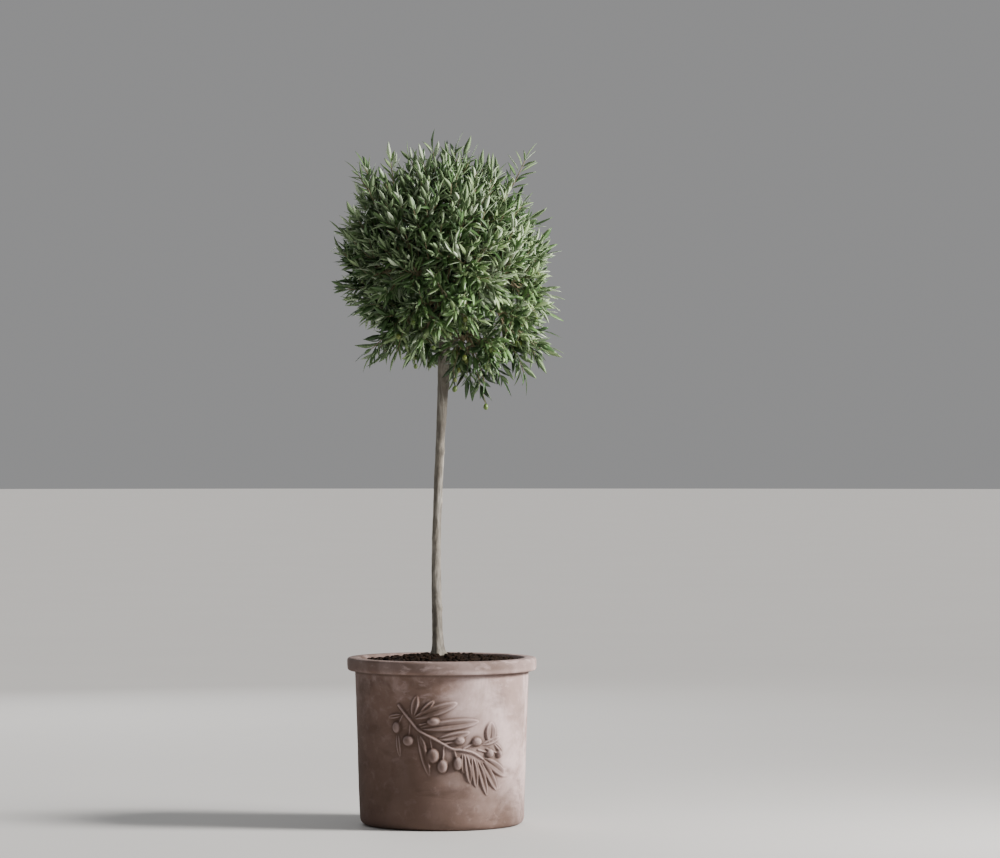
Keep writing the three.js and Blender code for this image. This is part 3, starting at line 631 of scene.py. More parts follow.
def even_directions(count, turned=0.0):
    """Directions spread evenly over a sphere by the golden angle."""
    rank = np.arange(count)
    height = 1 - 2 * (rank + 0.5) / count
    level = np.sqrt(1 - height**2)
    angle = rank * GOLDEN_ANGLE + turned
    return np.column_stack([level * np.cos(angle), level * np.sin(angle), height])


def full_turn(count):
    """Even angles once round."""
    return np.arange(count) / count * 2 * math.pi


def bezier(start, bend, end, count):
    """Points along a curve from start to end that is drawn towards a bend."""
    share = np.linspace(0, 1, count)[:, None]
    return (1 - share) ** 2 * start + 2 * share * (1 - share) * bend + share**2 * end


def smooth_line(stations, count):
    """A smooth line through stations, which may carry more than three values each."""
    padded = np.vstack([2 * stations[0] - stations[1], stations, 2 * stations[-1] - stations[-2]])
    place = np.linspace(0, len(stations) - 1 - 1e-9, count)
    first = np.floor(place).astype(int)
    t = (place - first)[:, None]
    a, b, c, d = (padded[first + step] for step in range(4))
    return 0.5 * (2 * b + (c - a) * t + (2 * a - 5 * b + 4 * c - d) * t**2 + (3 * b - a - 3 * c + d) * t**3)


def lattice_noise(points, size, seed):
    """Smooth noise from -1 to 1 at each point, from random numbers on a lattice of that size."""
    cells = np.asarray(points) / size
    base = np.floor(cells).astype(np.int64)
    ease = cells - base
    ease = ease * ease * (3 - 2 * ease)
    total = np.zeros(len(cells))
    for corner in np.ndindex(2, 2, 2):
        offset = np.array(corner)
        mixed = (base + offset) @ np.array([73856093, 19349663, 83492791]) + seed * 2654435761
        mixed = ((mixed ^ (mixed >> 13)) * 1274126177) & 0xFFFFFFFF
        mixed = (mixed ^ (mixed >> 15)) & 0xFFFF
        total += np.prod(np.where(offset == 1, ease, 1 - ease), axis=1) * (mixed / 32767.5 - 1)
    return total


def layered_noise(points, layers, seed):
    """Noises of several depths and sizes, added up."""
    return sum(depth * lattice_noise(points, size, seed + rank) for rank, (depth, size) in enumerate(layers))


# Meshes


def tube(line, radii, sides):
    """A closed tube along a line, as corners and triangles."""
    along = unit(np.gradient(line, axis=0))
    aside = unit(np.cross(along[0], UP if abs(along[0][2]) < NEARLY_UPRIGHT else ACROSS))
    angles = full_turn(sides)
    radii = np.broadcast_to(np.asarray(radii, float).reshape(len(line), -1), (len(line), sides))
    rings = []
    for place, way, radius in zip(line, along, radii):
        aside = unit(aside - way * (aside @ way))
        across = np.cross(way, aside)
        spokes = np.cos(angles)[:, None] * aside + np.sin(angles)[:, None] * across
        rings.append(place + spokes * radius[:, None])
    points = np.vstack(rings + [line[:1], line[-1:]])
    ring, side = np.divmod(np.arange((len(line) - 1) * sides), sides)
    here, beside = ring * sides + side, ring * sides + (side + 1) % sides
    walls = np.vstack([
        np.column_stack([here, beside, beside + sides]),
        np.column_stack([here, beside + sides, here + sides]),
    ])
    edge = np.arange(sides)
    after = (edge + 1) % sides
    last = (len(line) - 1) * sides
    start, end = np.full(sides, len(points) - 2), np.full(sides, len(points) - 1)
    caps = np.vstack([
        np.column_stack([after, edge, start]),
        np.column_stack([last + edge, last + after, end]),
    ])
    return points, np.vstack([walls, caps])


def grid_faces(rows, columns):
    """The triangles between the points of a grid that closes on itself sideways."""
    row, column = np.divmod(np.arange((rows - 1) * columns), columns)
    beside = (column + 1) % columns
    a, b = row * columns + column, row * columns + beside
    return np.vstack([np.column_stack([a, b, b + columns]), np.column_stack([a, b + columns, a + columns])])


def mesh_piece(name, parts, materials):
    """A new object from (corners, triangles, material number) parts, riding on the tree's body."""
    counts = np.cumsum([0] + [len(points) for points, _, _ in parts])
    points = np.vstack([points for points, _, _ in parts])
    faces = np.vstack([faces + start for (_, faces, _), start in zip(parts, counts)])
    numbers = np.concatenate([np.broadcast_to(number, len(faces)) for _, faces, number in parts])
    mesh = bpy.data.meshes.new(name)
    mesh.vertices.add(len(points))
    mesh.vertices.foreach_set("co", points.astype(np.float32).ravel())
    mesh.loops.add(faces.size)
    mesh.loops.foreach_set("vertex_index", faces.astype(np.int32).ravel())
    mesh.polygons.add(len(faces))
    mesh.polygons.foreach_set("loop_start", np.arange(len(faces), dtype=np.int32) * 3)
    mesh.polygons.foreach_set("material_index", numbers.astype(np.int32))
    mesh.update(calc_edges=True)
    mesh.shade_smooth()
    for material in materials:
        mesh.materials.append(material)
    piece = bpy.data.objects.new(name, mesh)
    bpy.context.scene.collection.objects.link(piece)
    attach(piece, BODY)
    return piece


def point_values(piece, name, values):
    """Gives each corner of a piece a number that its material reads by name."""
    attribute = piece.data.attributes.new(name, "FLOAT", "POINT")
    attribute.data.foreach_set("value", values.astype(np.float32))


# Shader groups and materials


def new_group(name, inputs, outputs):
    """A shader node group with its sockets, and its nodes, links, input and output."""
    group = bpy.data.node_groups.new(name, "ShaderNodeTree")
    for label, kind, value in inputs:
        socket = group.interface.new_socket(label, in_out="INPUT", socket_type=kind)
        socket.default_value = value
    for label, kind in outputs:
        group.interface.new_socket(label, in_out="OUTPUT", socket_type=kind)
    return group, group.nodes.new("NodeGroupInput"), group.nodes.new("NodeGroupOutput")


def shared_group(name, build):
    """The shader node group of that name, built at its first use."""
    return bpy.data.node_groups.get(name) or build(name)


def feed(tree, socket, value):
    """Gives an input another socket's output or a plain value."""
    if isinstance(value, bpy.types.NodeSocket):
        tree.links.new(value, socket)
    else:
        socket.default_value = value


def math_node(tree, operation, first, second):
    """A Math node whose two inputs are sockets or numbers. Returns its output."""
    node = tree.nodes.new("ShaderNodeMath")
    node.operation = operation
    feed(tree, node.inputs[0], first)
    feed(tree, node.inputs[1], second)
    return node.outputs[0]


class Mask:
    """A number in a shader. Sums and products with others and with plain numbers are new ones."""

    def __init__(self, tree, socket):
        self.tree = tree
        self.socket = socket

    def joined(self, operation, first, second):
        """The result of an operation on two numbers, one of them this one."""
        inputs = (value.socket if isinstance(value, Mask) else value for value in (first, second))
        return Mask(self.tree, math_node(self.tree, operation, *inputs))

    def __add__(self, other):
        return self.joined("ADD", self, other)

    def __sub__(self, other):
        return self.joined("SUBTRACT", self, other)

    def __rsub__(self, other):
        return self.joined("SUBTRACT", other, self)

    def __mul__(self, other):
        return self.joined("MULTIPLY", self, other)

    def spread(self, low, high):
        """This number spread smoothly from 0 at one limit to 1 at another."""
        return Mask(self.tree, ramp_node(self.tree, self.socket, low, high))


def noise_node(tree, vector, scale, detail, roughness, swirl=0.0):
    """A Noise Texture whose scale is a socket or a number. Returns its value output."""
    node = tree.nodes.new("ShaderNodeTexNoise")
    tree.links.new(vector, node.inputs["Vector"])
    node.inputs["Detail"].default_value = detail
    node.inputs["Roughness"].default_value = roughness
    node.inputs["Distortion"].default_value = swirl
    feed(tree, node.inputs["Scale"], scale)
    return node.outputs["Fac"]


def ramp_node(tree, value, low, high):
    """A value spread smoothly from 0 to 1 between two limits, each a socket or a number."""
    node = tree.nodes.new("ShaderNodeMapRange")
    node.interpolation_type = "SMOOTHSTEP"
    tree.links.new(value, node.inputs["Value"])
    feed(tree, node.inputs["From Min"], low)
    feed(tree, node.inputs["From Max"], high)
    return node.outputs["Result"]


def build_patches(name):
    """Soft-edged patches: stretched noise cut between two limits."""
    group, given, out = new_group(
        name,
        [
            ("Scale", "NodeSocketFloat", 6.0),
            ("Stretch", "NodeSocketFloat", 1.0),
            ("Low", "NodeSocketFloat", 0.45),
            ("High", "NodeSocketFloat", 0.65),
        ],
        [("Mask", "NodeSocketFloat")],
    )
    place = group.nodes.new("ShaderNodeTexCoord").outputs["Object"]
    split = group.nodes.new("ShaderNodeSeparateXYZ")
    group.links.new(place, split.inputs[0])
    height = math_node(group, "DIVIDE", split.outputs["Z"], given.outputs["Stretch"])
    joined = group.nodes.new("ShaderNodeCombineXYZ")
    group.links.new(split.outputs["X"], joined.inputs["X"])
    group.links.new(split.outputs["Y"], joined.inputs["Y"])
    group.links.new(height, joined.inputs["Z"])
    noise = noise_node(group, joined.outputs[0], given.outputs["Scale"], 6.0, 0.6, 0.5)
    mask = ramp_node(group, noise, given.outputs["Low"], given.outputs["High"])
    group.links.new(mask, out.inputs["Mask"])
    return group


def build_grain(name):
    """A fine uneven surface: coarse and fine noise added up, for a Bump node's height."""
    group, given, out = new_group(
        name,
        [("Scale", "NodeSocketFloat", 300.0), ("Fine Share", "NodeSocketFloat", 0.4)],
        [("Height", "NodeSocketFloat")],
    )
    place = group.nodes.new("ShaderNodeTexCoord").outputs["Object"]
    coarse = noise_node(group, place, given.outputs["Scale"], 3.0, 0.55)
    fine_scale = math_node(group, "MULTIPLY", given.outputs["Scale"], 4.5)
    fine = noise_node(group, place, fine_scale, 2.0, 0.6)
    added = math_node(group, "MULTIPLY", fine, given.outputs["Fine Share"])
    group.links.new(math_node(group, "ADD", coarse, added), out.inputs["Height"])
    return group


def build_tone(name):
    """A colour made uneven: noise mixes it towards a second colour."""
    group, given, out = new_group(
        name,
        [
            ("Colour", "NodeSocketColor", (0.5, 0.5, 0.5, 1.0)),
            ("Other Colour", "NodeSocketColor", (0.3, 0.3, 0.3, 1.0)),
            ("Scale", "NodeSocketFloat", 60.0),
            ("Amount", "NodeSocketFloat", 0.5),
        ],
        [("Colour", "NodeSocketColor")],
    )
    place = group.nodes.new("ShaderNodeTexCoord").outputs["Object"]
    noise = noise_node(group, place, given.outputs["Scale"], 4.0, 0.6)
    spread = ramp_node(group, noise, 0.34, 0.66)
    share = math_node(group, "MULTIPLY", spread, given.outputs["Amount"])
    mixed = mix_colours(group, share, given.outputs["Colour"], given.outputs["Other Colour"])
    group.links.new(mixed, out.inputs["Colour"])
    return group


def mix_colours(tree, share, first, second):
    """Mixes two colours, each a socket or a value, by a share. Returns the output."""
    node = tree.nodes.new("ShaderNodeMix")
    node.data_type = "RGBA"
    tree.links.new(share, node.inputs["Factor"])
    for label, colour in (("A", first), ("B", second)):
        socket = next(s for s in node.inputs if s.name == label and s.type == "RGBA")
        feed(tree, socket, colour)
    return next(s for s in node.outputs if s.type == "RGBA")


class Finish:
    """A new material with its Principled shader, and short ways to feed it."""

    def __init__(self, name, roughness, specular):
        self.material = bpy.data.materials.new(name)
        self.material.use_nodes = True
        self.tree = self.material.node_tree
        self.shader = self.tree.nodes["Principled BSDF"]
        self.shader.inputs["Roughness"].default_value = roughness
        self.shader.inputs["Specular IOR Level"].default_value = specular

    def place(self):
        """The masks of a point's place across, back and up in the object."""
        split = self.tree.nodes.new("ShaderNodeSeparateXYZ")
        self.tree.links.new(self.tree.nodes.new("ShaderNodeTexCoord").outputs["Object"], split.inputs[0])
        return [Mask(self.tree, output) for output in split.outputs]

    def group(self, name, build, **values):
        """Places a shared group with its own values. Returns its first output."""
        node = self.tree.nodes.new("ShaderNodeGroup")
        node.node_tree = shared_group(name, build)
        for label, value in values.items():
            node.inputs[label.replace("_", " ")].default_value = value
        return node.outputs[0]

    def patches(self, **values):
        """The mask of soft-edged patches."""
        return Mask(self.tree, self.group("Soft Patches", build_patches, **values))

    def tone(self, colour, other, scale, amount):
        """A colour made uneven by another."""
        return self.group(
            "Uneven Tone", build_tone,
            Colour=(*colour, 1.0), Other_Colour=(*other, 1.0), Scale=scale, Amount=amount,
        )

    def named_value(self, name):
        """The mask that each corner's number under a name makes."""
        node = self.tree.nodes.new("ShaderNodeAttribute")
        node.attribute_name = name
        return Mask(self.tree, node.outputs["Fac"])

    def colour(self, base, layers=()):
        """Sets the base colour, with colours laid over it in turn, each by its mask."""
        for mask, colour in layers:
            base = mix_colours(self.tree, mask.socket, base, (*colour, 1.0))
        self.tree.links.new(base, self.shader.inputs["Base Color"])

    def grain(self, scale, distance, fine_share):
        """Raises a fine grain by a distance."""
        height = self.group("Fine Grain", build_grain, Scale=scale, Fine_Share=fine_share)
        node = self.tree.nodes.new("ShaderNodeBump")
        node.inputs["Distance"].default_value = distance
        self.tree.links.new(height, node.inputs["Height"])
        self.tree.links.new(node.outputs["Normal"], self.shader.inputs["Normal"])


# The clay pot


def body_radius(height):
    """The radius of the pot's wall at a height, straight from foot to rim."""
    return FOOT_RADIUS + (TOP_RADIUS - FOOT_RADIUS) * np.asarray(height) / (POT_HIGH.z - RIM_HEIGHT)


def corner(start, bend, end):
    """A rounded corner of the pot's outline, without its first point."""
    return bezier(np.array(start), np.array(bend), np.array(end), CORNER_STEPS + 1)[1:]


def pot_outline(rim_radius, height):
    """The pot's outline from the middle of its underside, up outside and down inside to its floor."""
    rim_foot = height - RIM_HEIGHT
    foot = body_radius(0)
    wall_heights = np.concatenate([
        np.arange(FOOT_ROUND + WALL_STEP, RELIEF_UP[0], WALL_STEP),
        np.arange(RELIEF_UP[0], RELIEF_UP[1], RELIEF_STEP),
        np.arange(RELIEF_UP[1], rim_foot, WALL_STEP),
    ])
    rim_side = rim_radius - RIM_BELLY
    rim_top = rim_radius - RIM_ROUND - EASE
    return np.vstack([
        [(0.0, 0.0), (foot / 2, 0.0), (foot - FOOT_ROUND, 0.0)],
        corner((foot - FOOT_ROUND, 0.0), (foot, 0.0), (body_radius(FOOT_ROUND), FOOT_ROUND)),
        np.column_stack([body_radius(wall_heights), wall_heights]),
        corner(
            (body_radius(rim_foot - RIM_FILLET), rim_foot - RIM_FILLET),
            (body_radius(rim_foot), rim_foot),
            (body_radius(rim_foot) + RIM_FILLET, rim_foot),
        ),
        corner(
            (rim_radius - RIM_ROUND, rim_foot + EASE),
            (rim_side, rim_foot + EASE + RIM_BELLY),
            (rim_side, rim_foot + RIM_ROUND + 2 * EASE),
        ),
        [(rim_radius, rim_foot + RIM_HEIGHT / 2)],
        corner((rim_radius, height - RIM_ROUND - EASE), (rim_radius, height), (rim_top, height)),
        [(MOUTH_RADIUS + 2 * MOUTH_ROUND, height + MOUTH_CROWN)],
        corner(
            (MOUTH_RADIUS + MOUTH_ROUND, height),
            (MOUTH_RADIUS, height),
            (MOUTH_RADIUS, height - MOUTH_ROUND),
        ),
        [
            (MOUTH_RADIUS - 2 * EASE, height - MOUTH_DEPTH),
            (body_radius(rim_foot) - WALL, rim_foot),
            (body_radius(FLOOR) - WALL, FLOOR),
            (0.0, FLOOR),
        ],
    ])


def pot_angles():
    """The angles of the pot's columns, close together where the relief is."""
    left, right = (across / TOP_RADIUS for across in RELIEF_ACROSS)
    fine = np.arange(left, right, RELIEF_STEP / TOP_RADIUS)
    coarse_count = int((2 * math.pi - right + left) * TOP_RADIUS / WALL_STEP)
    coarse = np.linspace(right, left + 2 * math.pi, coarse_count)
    return np.concatenate([fine, coarse[:-1]]) - math.pi / 2


def ridge(across, up, start, end, width, height):
    """The height of a rounded ridge from one place to another."""
    start, end = np.array(start), np.array(end)
    way = end - start
    share = np.clip(((across - start[0]) * way[0] + (up - start[1]) * way[1]) / (way @ way), 0, 1)
    off = np.hypot(across - start[0] - share * way[0], up - start[1] - share * way[1])
    return height * np.sqrt(np.clip(1 - (off / (width / 2)) ** 2, 0, 1))


def leaf_relief(across, up, foot, turn, length, width):
    """The height of a carved leaf: a hollowed blade with raised edges and a vein cut along it."""
    angle = math.radians(turn)
    along = (across - foot[0]) * math.cos(angle) + (up - foot[1]) * math.sin(angle)
    aside = (up - foot[1]) * math.cos(angle) - (across - foot[0]) * math.sin(angle)
    share = np.clip(along / length, 0, 1)
    half = width / 2 * np.power(np.clip(4 * share**1.1 * (1 - share**1.1), 0, 1), 0.6) + 1e-6
    out = np.abs(aside) / half
    blade = LEAF_RELIEF * (0.5 + 0.5 * out**2) * np.clip(1 - out**8, 0, 1)
    vein = VEIN_DEPTH * np.exp(-((aside / VEIN_WIDTH) ** 2)) * np.clip(1.2 - share, 0, 1)
    rise = 0.55 + 0.45 * np.sin(share * math.pi)
    inside = (out < 1) & (along > 0) & (along < length)
    return np.where(inside, blade * rise - vein, 0)


def olive_relief(across, up, middle, width, length):
    """The height of a carved olive: half of an egg."""
    off = ((across - middle[0]) / (width / 2)) ** 2 + ((up - middle[1]) / (length / 2)) ** 2
    return OLIVE_RELIEF * np.sqrt(np.clip(1 - off, 0, 1))


def relief_height(across, up, depth):
    """How far the relief stands off the wall at each place."""
    height = np.zeros_like(across)
    for leaf in RELIEF_LEAVES:
        height = np.maximum(height, leaf_relief(across, up, *leaf))
    stem = smooth_line(np.array(RELIEF_STEM), SPRIG_STEPS)
    for number, (start, end) in enumerate(zip(stem[:-1], stem[1:])):
        narrowed = 1 - SPRIG_TAPER * number / len(stem)
        part = ridge(across, up, start, end, SPRIG_WIDTH * narrowed, SPRIG_HEIGHT * narrowed)
        height = np.maximum(height, part)
    for middle, width, length, stalk_start in RELIEF_OLIVES:
        height = np.maximum(height, ridge(across, up, stalk_start, middle, STALK_WIDTH, STALK_HEIGHT))
        height = np.maximum(height, olive_relief(across, up, middle, width, length))
    return height * depth


def blurred(grid, passes):
    """A grid of numbers with each mixed with its neighbours, several times over."""
    for _ in range(passes):
        grid = (2 * grid + np.roll(grid, 1, 0) + np.roll(grid, -1, 0)) / 4
        grid = (2 * grid + np.roll(grid, 1, 1) + np.roll(grid, -1, 1)) / 4
    return grid


def about_axis(radius, angle, height):
    """Points about the pot's axis, as rows."""
    return np.dstack([radius * np.cos(angle), radius * np.sin(angle), height]).reshape(-1, 3)


def hand_finish(radius, angle, height):
    """How far the waves and ripples of a hand-finished surface stand out at each place."""
    places = about_axis(radius, angle, height)
    uneven = layered_noise(places, WAVES, SEEDS["pot"]).reshape(radius.shape)
    return uneven * (radius > AXIS_CLEAR)


def build_pot(settings):
    """The pot, with its relief raised from the wall and a slightly uneven, hand-finished surface."""
    outline = pot_outline(settings.rim_radius, settings.height)
    angles = pot_angles()
    radius, height = (np.repeat(values[:, None], len(angles), 1) for values in outline.T)
    angle = np.repeat(angles[None], len(outline), 0)
    across = (angle + math.pi / 2) * body_radius(height)
    outside = (np.arange(len(outline)) < len(outline) - INNER_ROWS)[:, None]
    outside = outside & (radius > FOOT_RADIUS - FOOT_ROUND)
    relief = blurred(np.where(outside, relief_height(across, height, settings.relief), 0.0), 1)
    uneven = hand_finish(radius, angle, height)
    uneven = np.where(relief > RELIEF_LIMIT, uneven * WAVES_ON_RELIEF, uneven)
    lifted = radius + relief + uneven - DRAWN_IN
    faces = grid_faces(len(outline), len(angles))
    parts = [(about_axis(lifted, angle, height), faces, 0)]
    piece = mesh_piece("clay_pot", parts, [clay_material(settings)])
    # Where painted shade falls on the clay: the relief's narrow hollows and the broad parts round it.
    hollow = (blurred(relief, SHADED_HOLLOW_BLUR) - relief) / SHADED_HOLLOW_FULL
    shelter = blurred(relief, RELIEF_SHADE_BLUR) / RELIEF_SHADE_FULL
    point_values(piece, "hollow", np.clip(hollow, -1, 1).ravel())
    point_values(piece, "shelter", np.clip(shelter, 0, 1).ravel())
    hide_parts("pot")


def clay_material(settings):
    """Unglazed clay: a darker rim, partly its weathered colour and partly painted shade, painted shade
    at the foot and on its left, and painted light on its right.

    A pale bloom of lime, wisps of it, stains and flecks lie over the whole, the bloom more to the upper
    right and the stains more to the lower left, partly weathering and partly painted light and shade.
    Painted shade darkens the hollows of the relief, the clay round it and a band under the rim, and
    the relief's raised parts are worn pale.
    """
    clay = Finish("weathered_clay", 0.88, 0.3)
    base = clay.tone(settings.clay, settings.clay_dark, 7.0, 0.75)
    share, limits = CLAY_SHARES, CLAY_LIMITS
    bloom, wisps, stains, flecks = (clay.patches(**values) for values in CLAY_PATCHES.values())
    across, _, up = clay.place()
    rim_foot = settings.height - RIM_HEIGHT
    # The rim is darker, partly its weathered clay and partly painted shade.
    on_rim = up.spread(rim_foot, rim_foot + RIM_HEIGHT / 2)
    # Partly weathering and partly painted light: bloom gathers to the upper right, stains to the lower left.
    weathered = (across * WEATHERED_AND_LIT_ACROSS + up).spread(*limits["weathered"])
    bloomed = weathered * share["bloom"] + share["bloom_anywhere"]
    bloomed = bloom * (bloomed * (1.0 - on_rim * BLOOM_OFF_RIM))
    # Painted light: the right side paler where the light falls, more so in the bloom.
    painted_light_right = (across + up * LIT_RIGHT_UP - on_rim * LIT_RIGHT_OFF_RIM).spread(*limits["painted_light_right"])
    painted_light_right = painted_light_right * (bloom * LIT_RIGHT_IN_BLOOM + LIT_RIGHT_BARE)
    # Painted shade: darker at the foot and towards the left.
    painted_shade_left = 1.0 - (across * UNSHADED_ACROSS + up).spread(*limits["unshaded"])
    # Painted shade on the clay round the relief's crowded parts.
    painted_shade_round_relief = clay.named_value("shelter").spread(*limits["painted_shade_round_relief"])
    # Painted shade in the relief's narrow hollows; its negative marks the raised parts, which are worn pale.
    hollow = clay.named_value("hollow")
    raised = hollow * -1.0
    # Painted shadow in a band under the rim.
    below, close, above = (rim_foot + step for step in RIM_SHADOW)
    shadow_under_rim = up.spread(below, close) * (1.0 - up.spread(rim_foot, above))
    layers = [
        (on_rim * share["rim"], settings.rim),
        (bloomed + painted_light_right, settings.bloom),
        (wisps * (weathered * share["wisps"]), settings.bloom),
        (stains * (weathered * -STAINS_WORN_OFF + share["stains"]), settings.stain_and_shade),
        (flecks * share["flecks"], settings.bloom),
        (painted_shade_left * share["painted_shade_left"], settings.stain_and_shade),
        (painted_shade_round_relief * share["painted_shade_round_relief"], settings.stain_and_shade),
        (hollow.spread(*limits["hollow"]) * share["hollow"], settings.stain_and_shade),
        (raised.spread(*limits["worn"]) * share["worn"], settings.bloom),
        (shadow_under_rim * share["shadow_under_rim"], settings.stain_and_shade),
    ]
    clay.colour(base, layers)
    clay.grain(420.0, 0.0007, 0.5)
    return clay.material


# The soil


def soil_height(radius):
    """The height of the soil's mound at a distance from the pot's axis."""
    share = np.clip((radius / MOUTH_RADIUS - SOIL_LEVEL_SHARE) / (1 - SOIL_LEVEL_SHARE), 0, 1)
    return SOIL_EDGE + SOIL_MOUND * (0.5 + 0.5 * np.cos(share * math.pi))


def soil_surface():
    """The mound's uneven top, with a skirt down inside the pot and a flat underside."""
    reach = MOUTH_RADIUS - SOIL_GAP
    rings = np.linspace(SOIL_FIRST_RING, reach, SOIL_RINGS)
    radii = np.concatenate([[0.0], rings, [reach - 2 * SOIL_GAP, 0.0]])
    angles = full_turn(SOIL_SIDES)
    radius, angle = np.meshgrid(radii, angles, indexing="ij")
    flat = about_axis(radius, angle, np.zeros(radius.shape))
    clods = layered_noise(flat, CLODS, SEEDS["soil"]).reshape(radius.shape)
    height = soil_height(radius) + clods * (radius > CLODS_FROM)
    height[-2:] = SOIL_EDGE - SOIL_DEPTH
    faces = grid_faces(len(radii), len(angles))[:, ::-1]
    return about_axis(radius, angle, height), faces, 0


def lump_shape():
    """A small faceted ball of radius one, as corners and triangles."""
    ball = bmesh.new()
    bmesh.ops.create_icosphere(ball, subdivisions=2, radius=1.0)
    points = np.array([v.co for v in ball.verts])
    faces = np.array([[v.index for v in f.verts] for f in ball.faces])
    ball.free()
    return points, faces


def soil_crumbs(count, size):
    """Crumbs of soil and small stones that lie half sunk on the mound."""
    rng = np.random.default_rng(SEEDS["crumbs"])
    ball, faces = lump_shape()
    parts = []
    for number in range(count):
        out = math.sqrt(rng.uniform(*CRUMB_AREA)) * MOUTH_RADIUS
        turn = rng.uniform(0, 2 * math.pi)
        radius = size * rng.uniform(*CRUMB_SIZES) ** 2 + CRUMB_LEAST
        lumps = lattice_noise(ball + number * CRUMB_APART, CRUMB_LUMP_SIZE, SEEDS["crumb"])
        lumpy = ball * (1 + CRUMB_LUMPS * lumps)[:, None] * radius * rng.uniform(*CRUMB_SHAPES)
        height = soil_height(out) + radius * CRUMB_RISE
        place = np.array([out * math.cos(turn), out * math.sin(turn), height])
        parts.append((lumpy + place, faces, int(rng.random() < STONE_SHARE)))
    return parts


def build_soil(settings):
    """The soil in the pot: a mound of dark crumbs."""
    materials = [
        soil_material("dark_soil", settings.soil, settings.soil_light, 55.0),
        soil_material("soil_crumbs", settings.soil_light, settings.soil, 140.0),
    ]
    parts = [soil_surface()] + soil_crumbs(settings.crumbs, settings.crumb_size)
    piece = mesh_piece("soil_mound", parts, materials)
    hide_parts("soil")


def soil_material(name, colour, other, scale):
    """Moist crumbly soil, darker in patches."""
    soil = Finish(name, 0.97, 0.08)
    soil.colour(soil.tone(colour, other, scale, 0.8))
    soil.grain(520.0, 0.0016, 0.6)
    return soil.material


# The trunk and its boughs


def trunk_rows(count):
    """The trunk's centre line with its radius in the last column."""
    return smooth_line(TRUNK_LINE, count)


def trunk_at(height):
    """The point of the trunk's centre line at a height."""
    rows = trunk_rows(TRUNK_FINE)
    return np.array([np.interp(height, rows[:, 2], rows[:, axis]) for axis in range(3)])


def trunk_tube(depth):
    """The trunk with its root flare, swellings, scars of pruned shoots and ridged bark."""
    rows = trunk_rows(TRUNK_ROWS)
    height, angle = np.meshgrid(rows[:, 2], full_turn(TRUNK_SIDES), indexing="ij")
    flare = np.clip(1 - (height - rows[0, 2]) / FLARE_HEIGHT, 0, 1)
    radius = rows[:, 3:] * (1 + FLARE_DEPTH * flare * np.cos(FLARE_LOBES * angle + FLARE_TURN))
    places = about_axis(np.full(radius.shape, TRUNK_MEAN_RADIUS), angle, height)
    ridges = layered_noise(places * (1, 1, RIDGE_SQUASH), RIDGES, SEEDS["ridges"])
    swell = lattice_noise(places * (1, 1, SWELL_SQUASH), SWELL_SIZE, SEEDS["swell"])
    radius = radius + (RIDGE_DEPTH * depth * ridges + SWELL_DEPTH * swell).reshape(radius.shape)
    for scar in TRUNK_SCARS:
        radius = radius + scar_swelling(height, angle, *scar)
    points, faces = tube(rows[:, :3], radius, TRUNK_SIDES)
    points[:TRUNK_SIDES, 2] = rows[0, 2]
    points[-2, 2] = rows[0, 2]
    return points, faces, 0


def scar_swelling(height, angle, scar_height, turn, width, swelling):
    """How far the scar of a pruned shoot stands out: a swelling with a dimple in its middle."""
    around = (angle - math.radians(turn) + math.pi) % (2 * math.pi) - math.pi
    off = ((height - scar_height) / width) ** 2 + (around * TRUNK_MEAN_RADIUS / width) ** 2
    return swelling * (np.exp(-SCAR_FALL * off) - DIMPLE_SHARE * np.exp(-DIMPLE_FALL * off))


def limb_tube(line, radii, seed):
    """A bough or stem with slightly ridged bark."""
    share = np.linspace(0, 1, len(line))
    radius = np.interp(share, np.linspace(0, 1, len(radii)), radii)
    along, angle = np.meshgrid(share * len(line) * LIMB_STEP, full_turn(LIMB_SIDES), indexing="ij")
    places = about_axis(np.full(angle.shape, LIMB_MEAN_RADIUS), angle, along)
    rough = 1 + layered_noise(places, LIMB_RIDGES, seed).reshape(along.shape)
    points, faces = tube(line, radius[:, None] * rough, LIMB_SIDES)
    return points, faces, 0


def build_limbs(settings):
    """The trunk and the boughs, with the stems that carry each mass on from its bough."""
    parts = [trunk_tube(settings.bark_relief)]
    for number, line in enumerate(limb_lines()):
        parts.append(limb_tube(line, BOUGH_RADII + STEM_RADII[1:], SEEDS["limbs"] + number))
    bark = bark_material("olive_bark", settings.bark, settings.bark_dark, settings.bark_pale)
    piece = mesh_piece("trunk_and_boughs", parts, [bark])
    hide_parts("trunk", *[f"bough_{name}" for name in MASS_NAMES if name != "top"])


def bark_material(name, colour, dark, pale):
    """Grey bark with dark streaks along the limb and pale patches of lichen."""
    bark = Finish(name, 0.85, 0.3)
    streaks = bark.patches(Scale=150.0, Stretch=8.0, Low=0.48, High=0.70)
    bands = bark.patches(Scale=85.0, Stretch=9.0, Low=0.48, High=0.70)
    lichen = bark.patches(Scale=30.0, Stretch=3.0, Low=0.50, High=0.68)
    layers = [(streaks * 0.6, dark), (bands * 0.5, pale), (lichen * 0.45, pale)]
    bark.colour(bark.tone(colour, dark, 26.0, 0.7), layers)
    bark.grain(650.0, 0.0006, 0.5)
    return bark.material


# The crown: the rule that the solids follow, carried on to finer twigs


MASS_WAYS = np.array([direction_of(azimuth, elevation) for azimuth, elevation, _ in MASSES.values()])
MASS_REACHES = np.array([reach for _, _, reach in MASSES.values()])
MASS_CORES = CROWN_CENTRE + MASS_WAYS * (MASS_REACHES * CORE_SHARE)[:, None]


def reach_towards(ways):
    """The crown's reach in each direction, blended from the reaches of the masses near it."""
    weights = np.exp(BLEND * (ways @ MASS_WAYS.T - 1))
    return (weights @ MASS_REACHES) / weights.sum(axis=1)


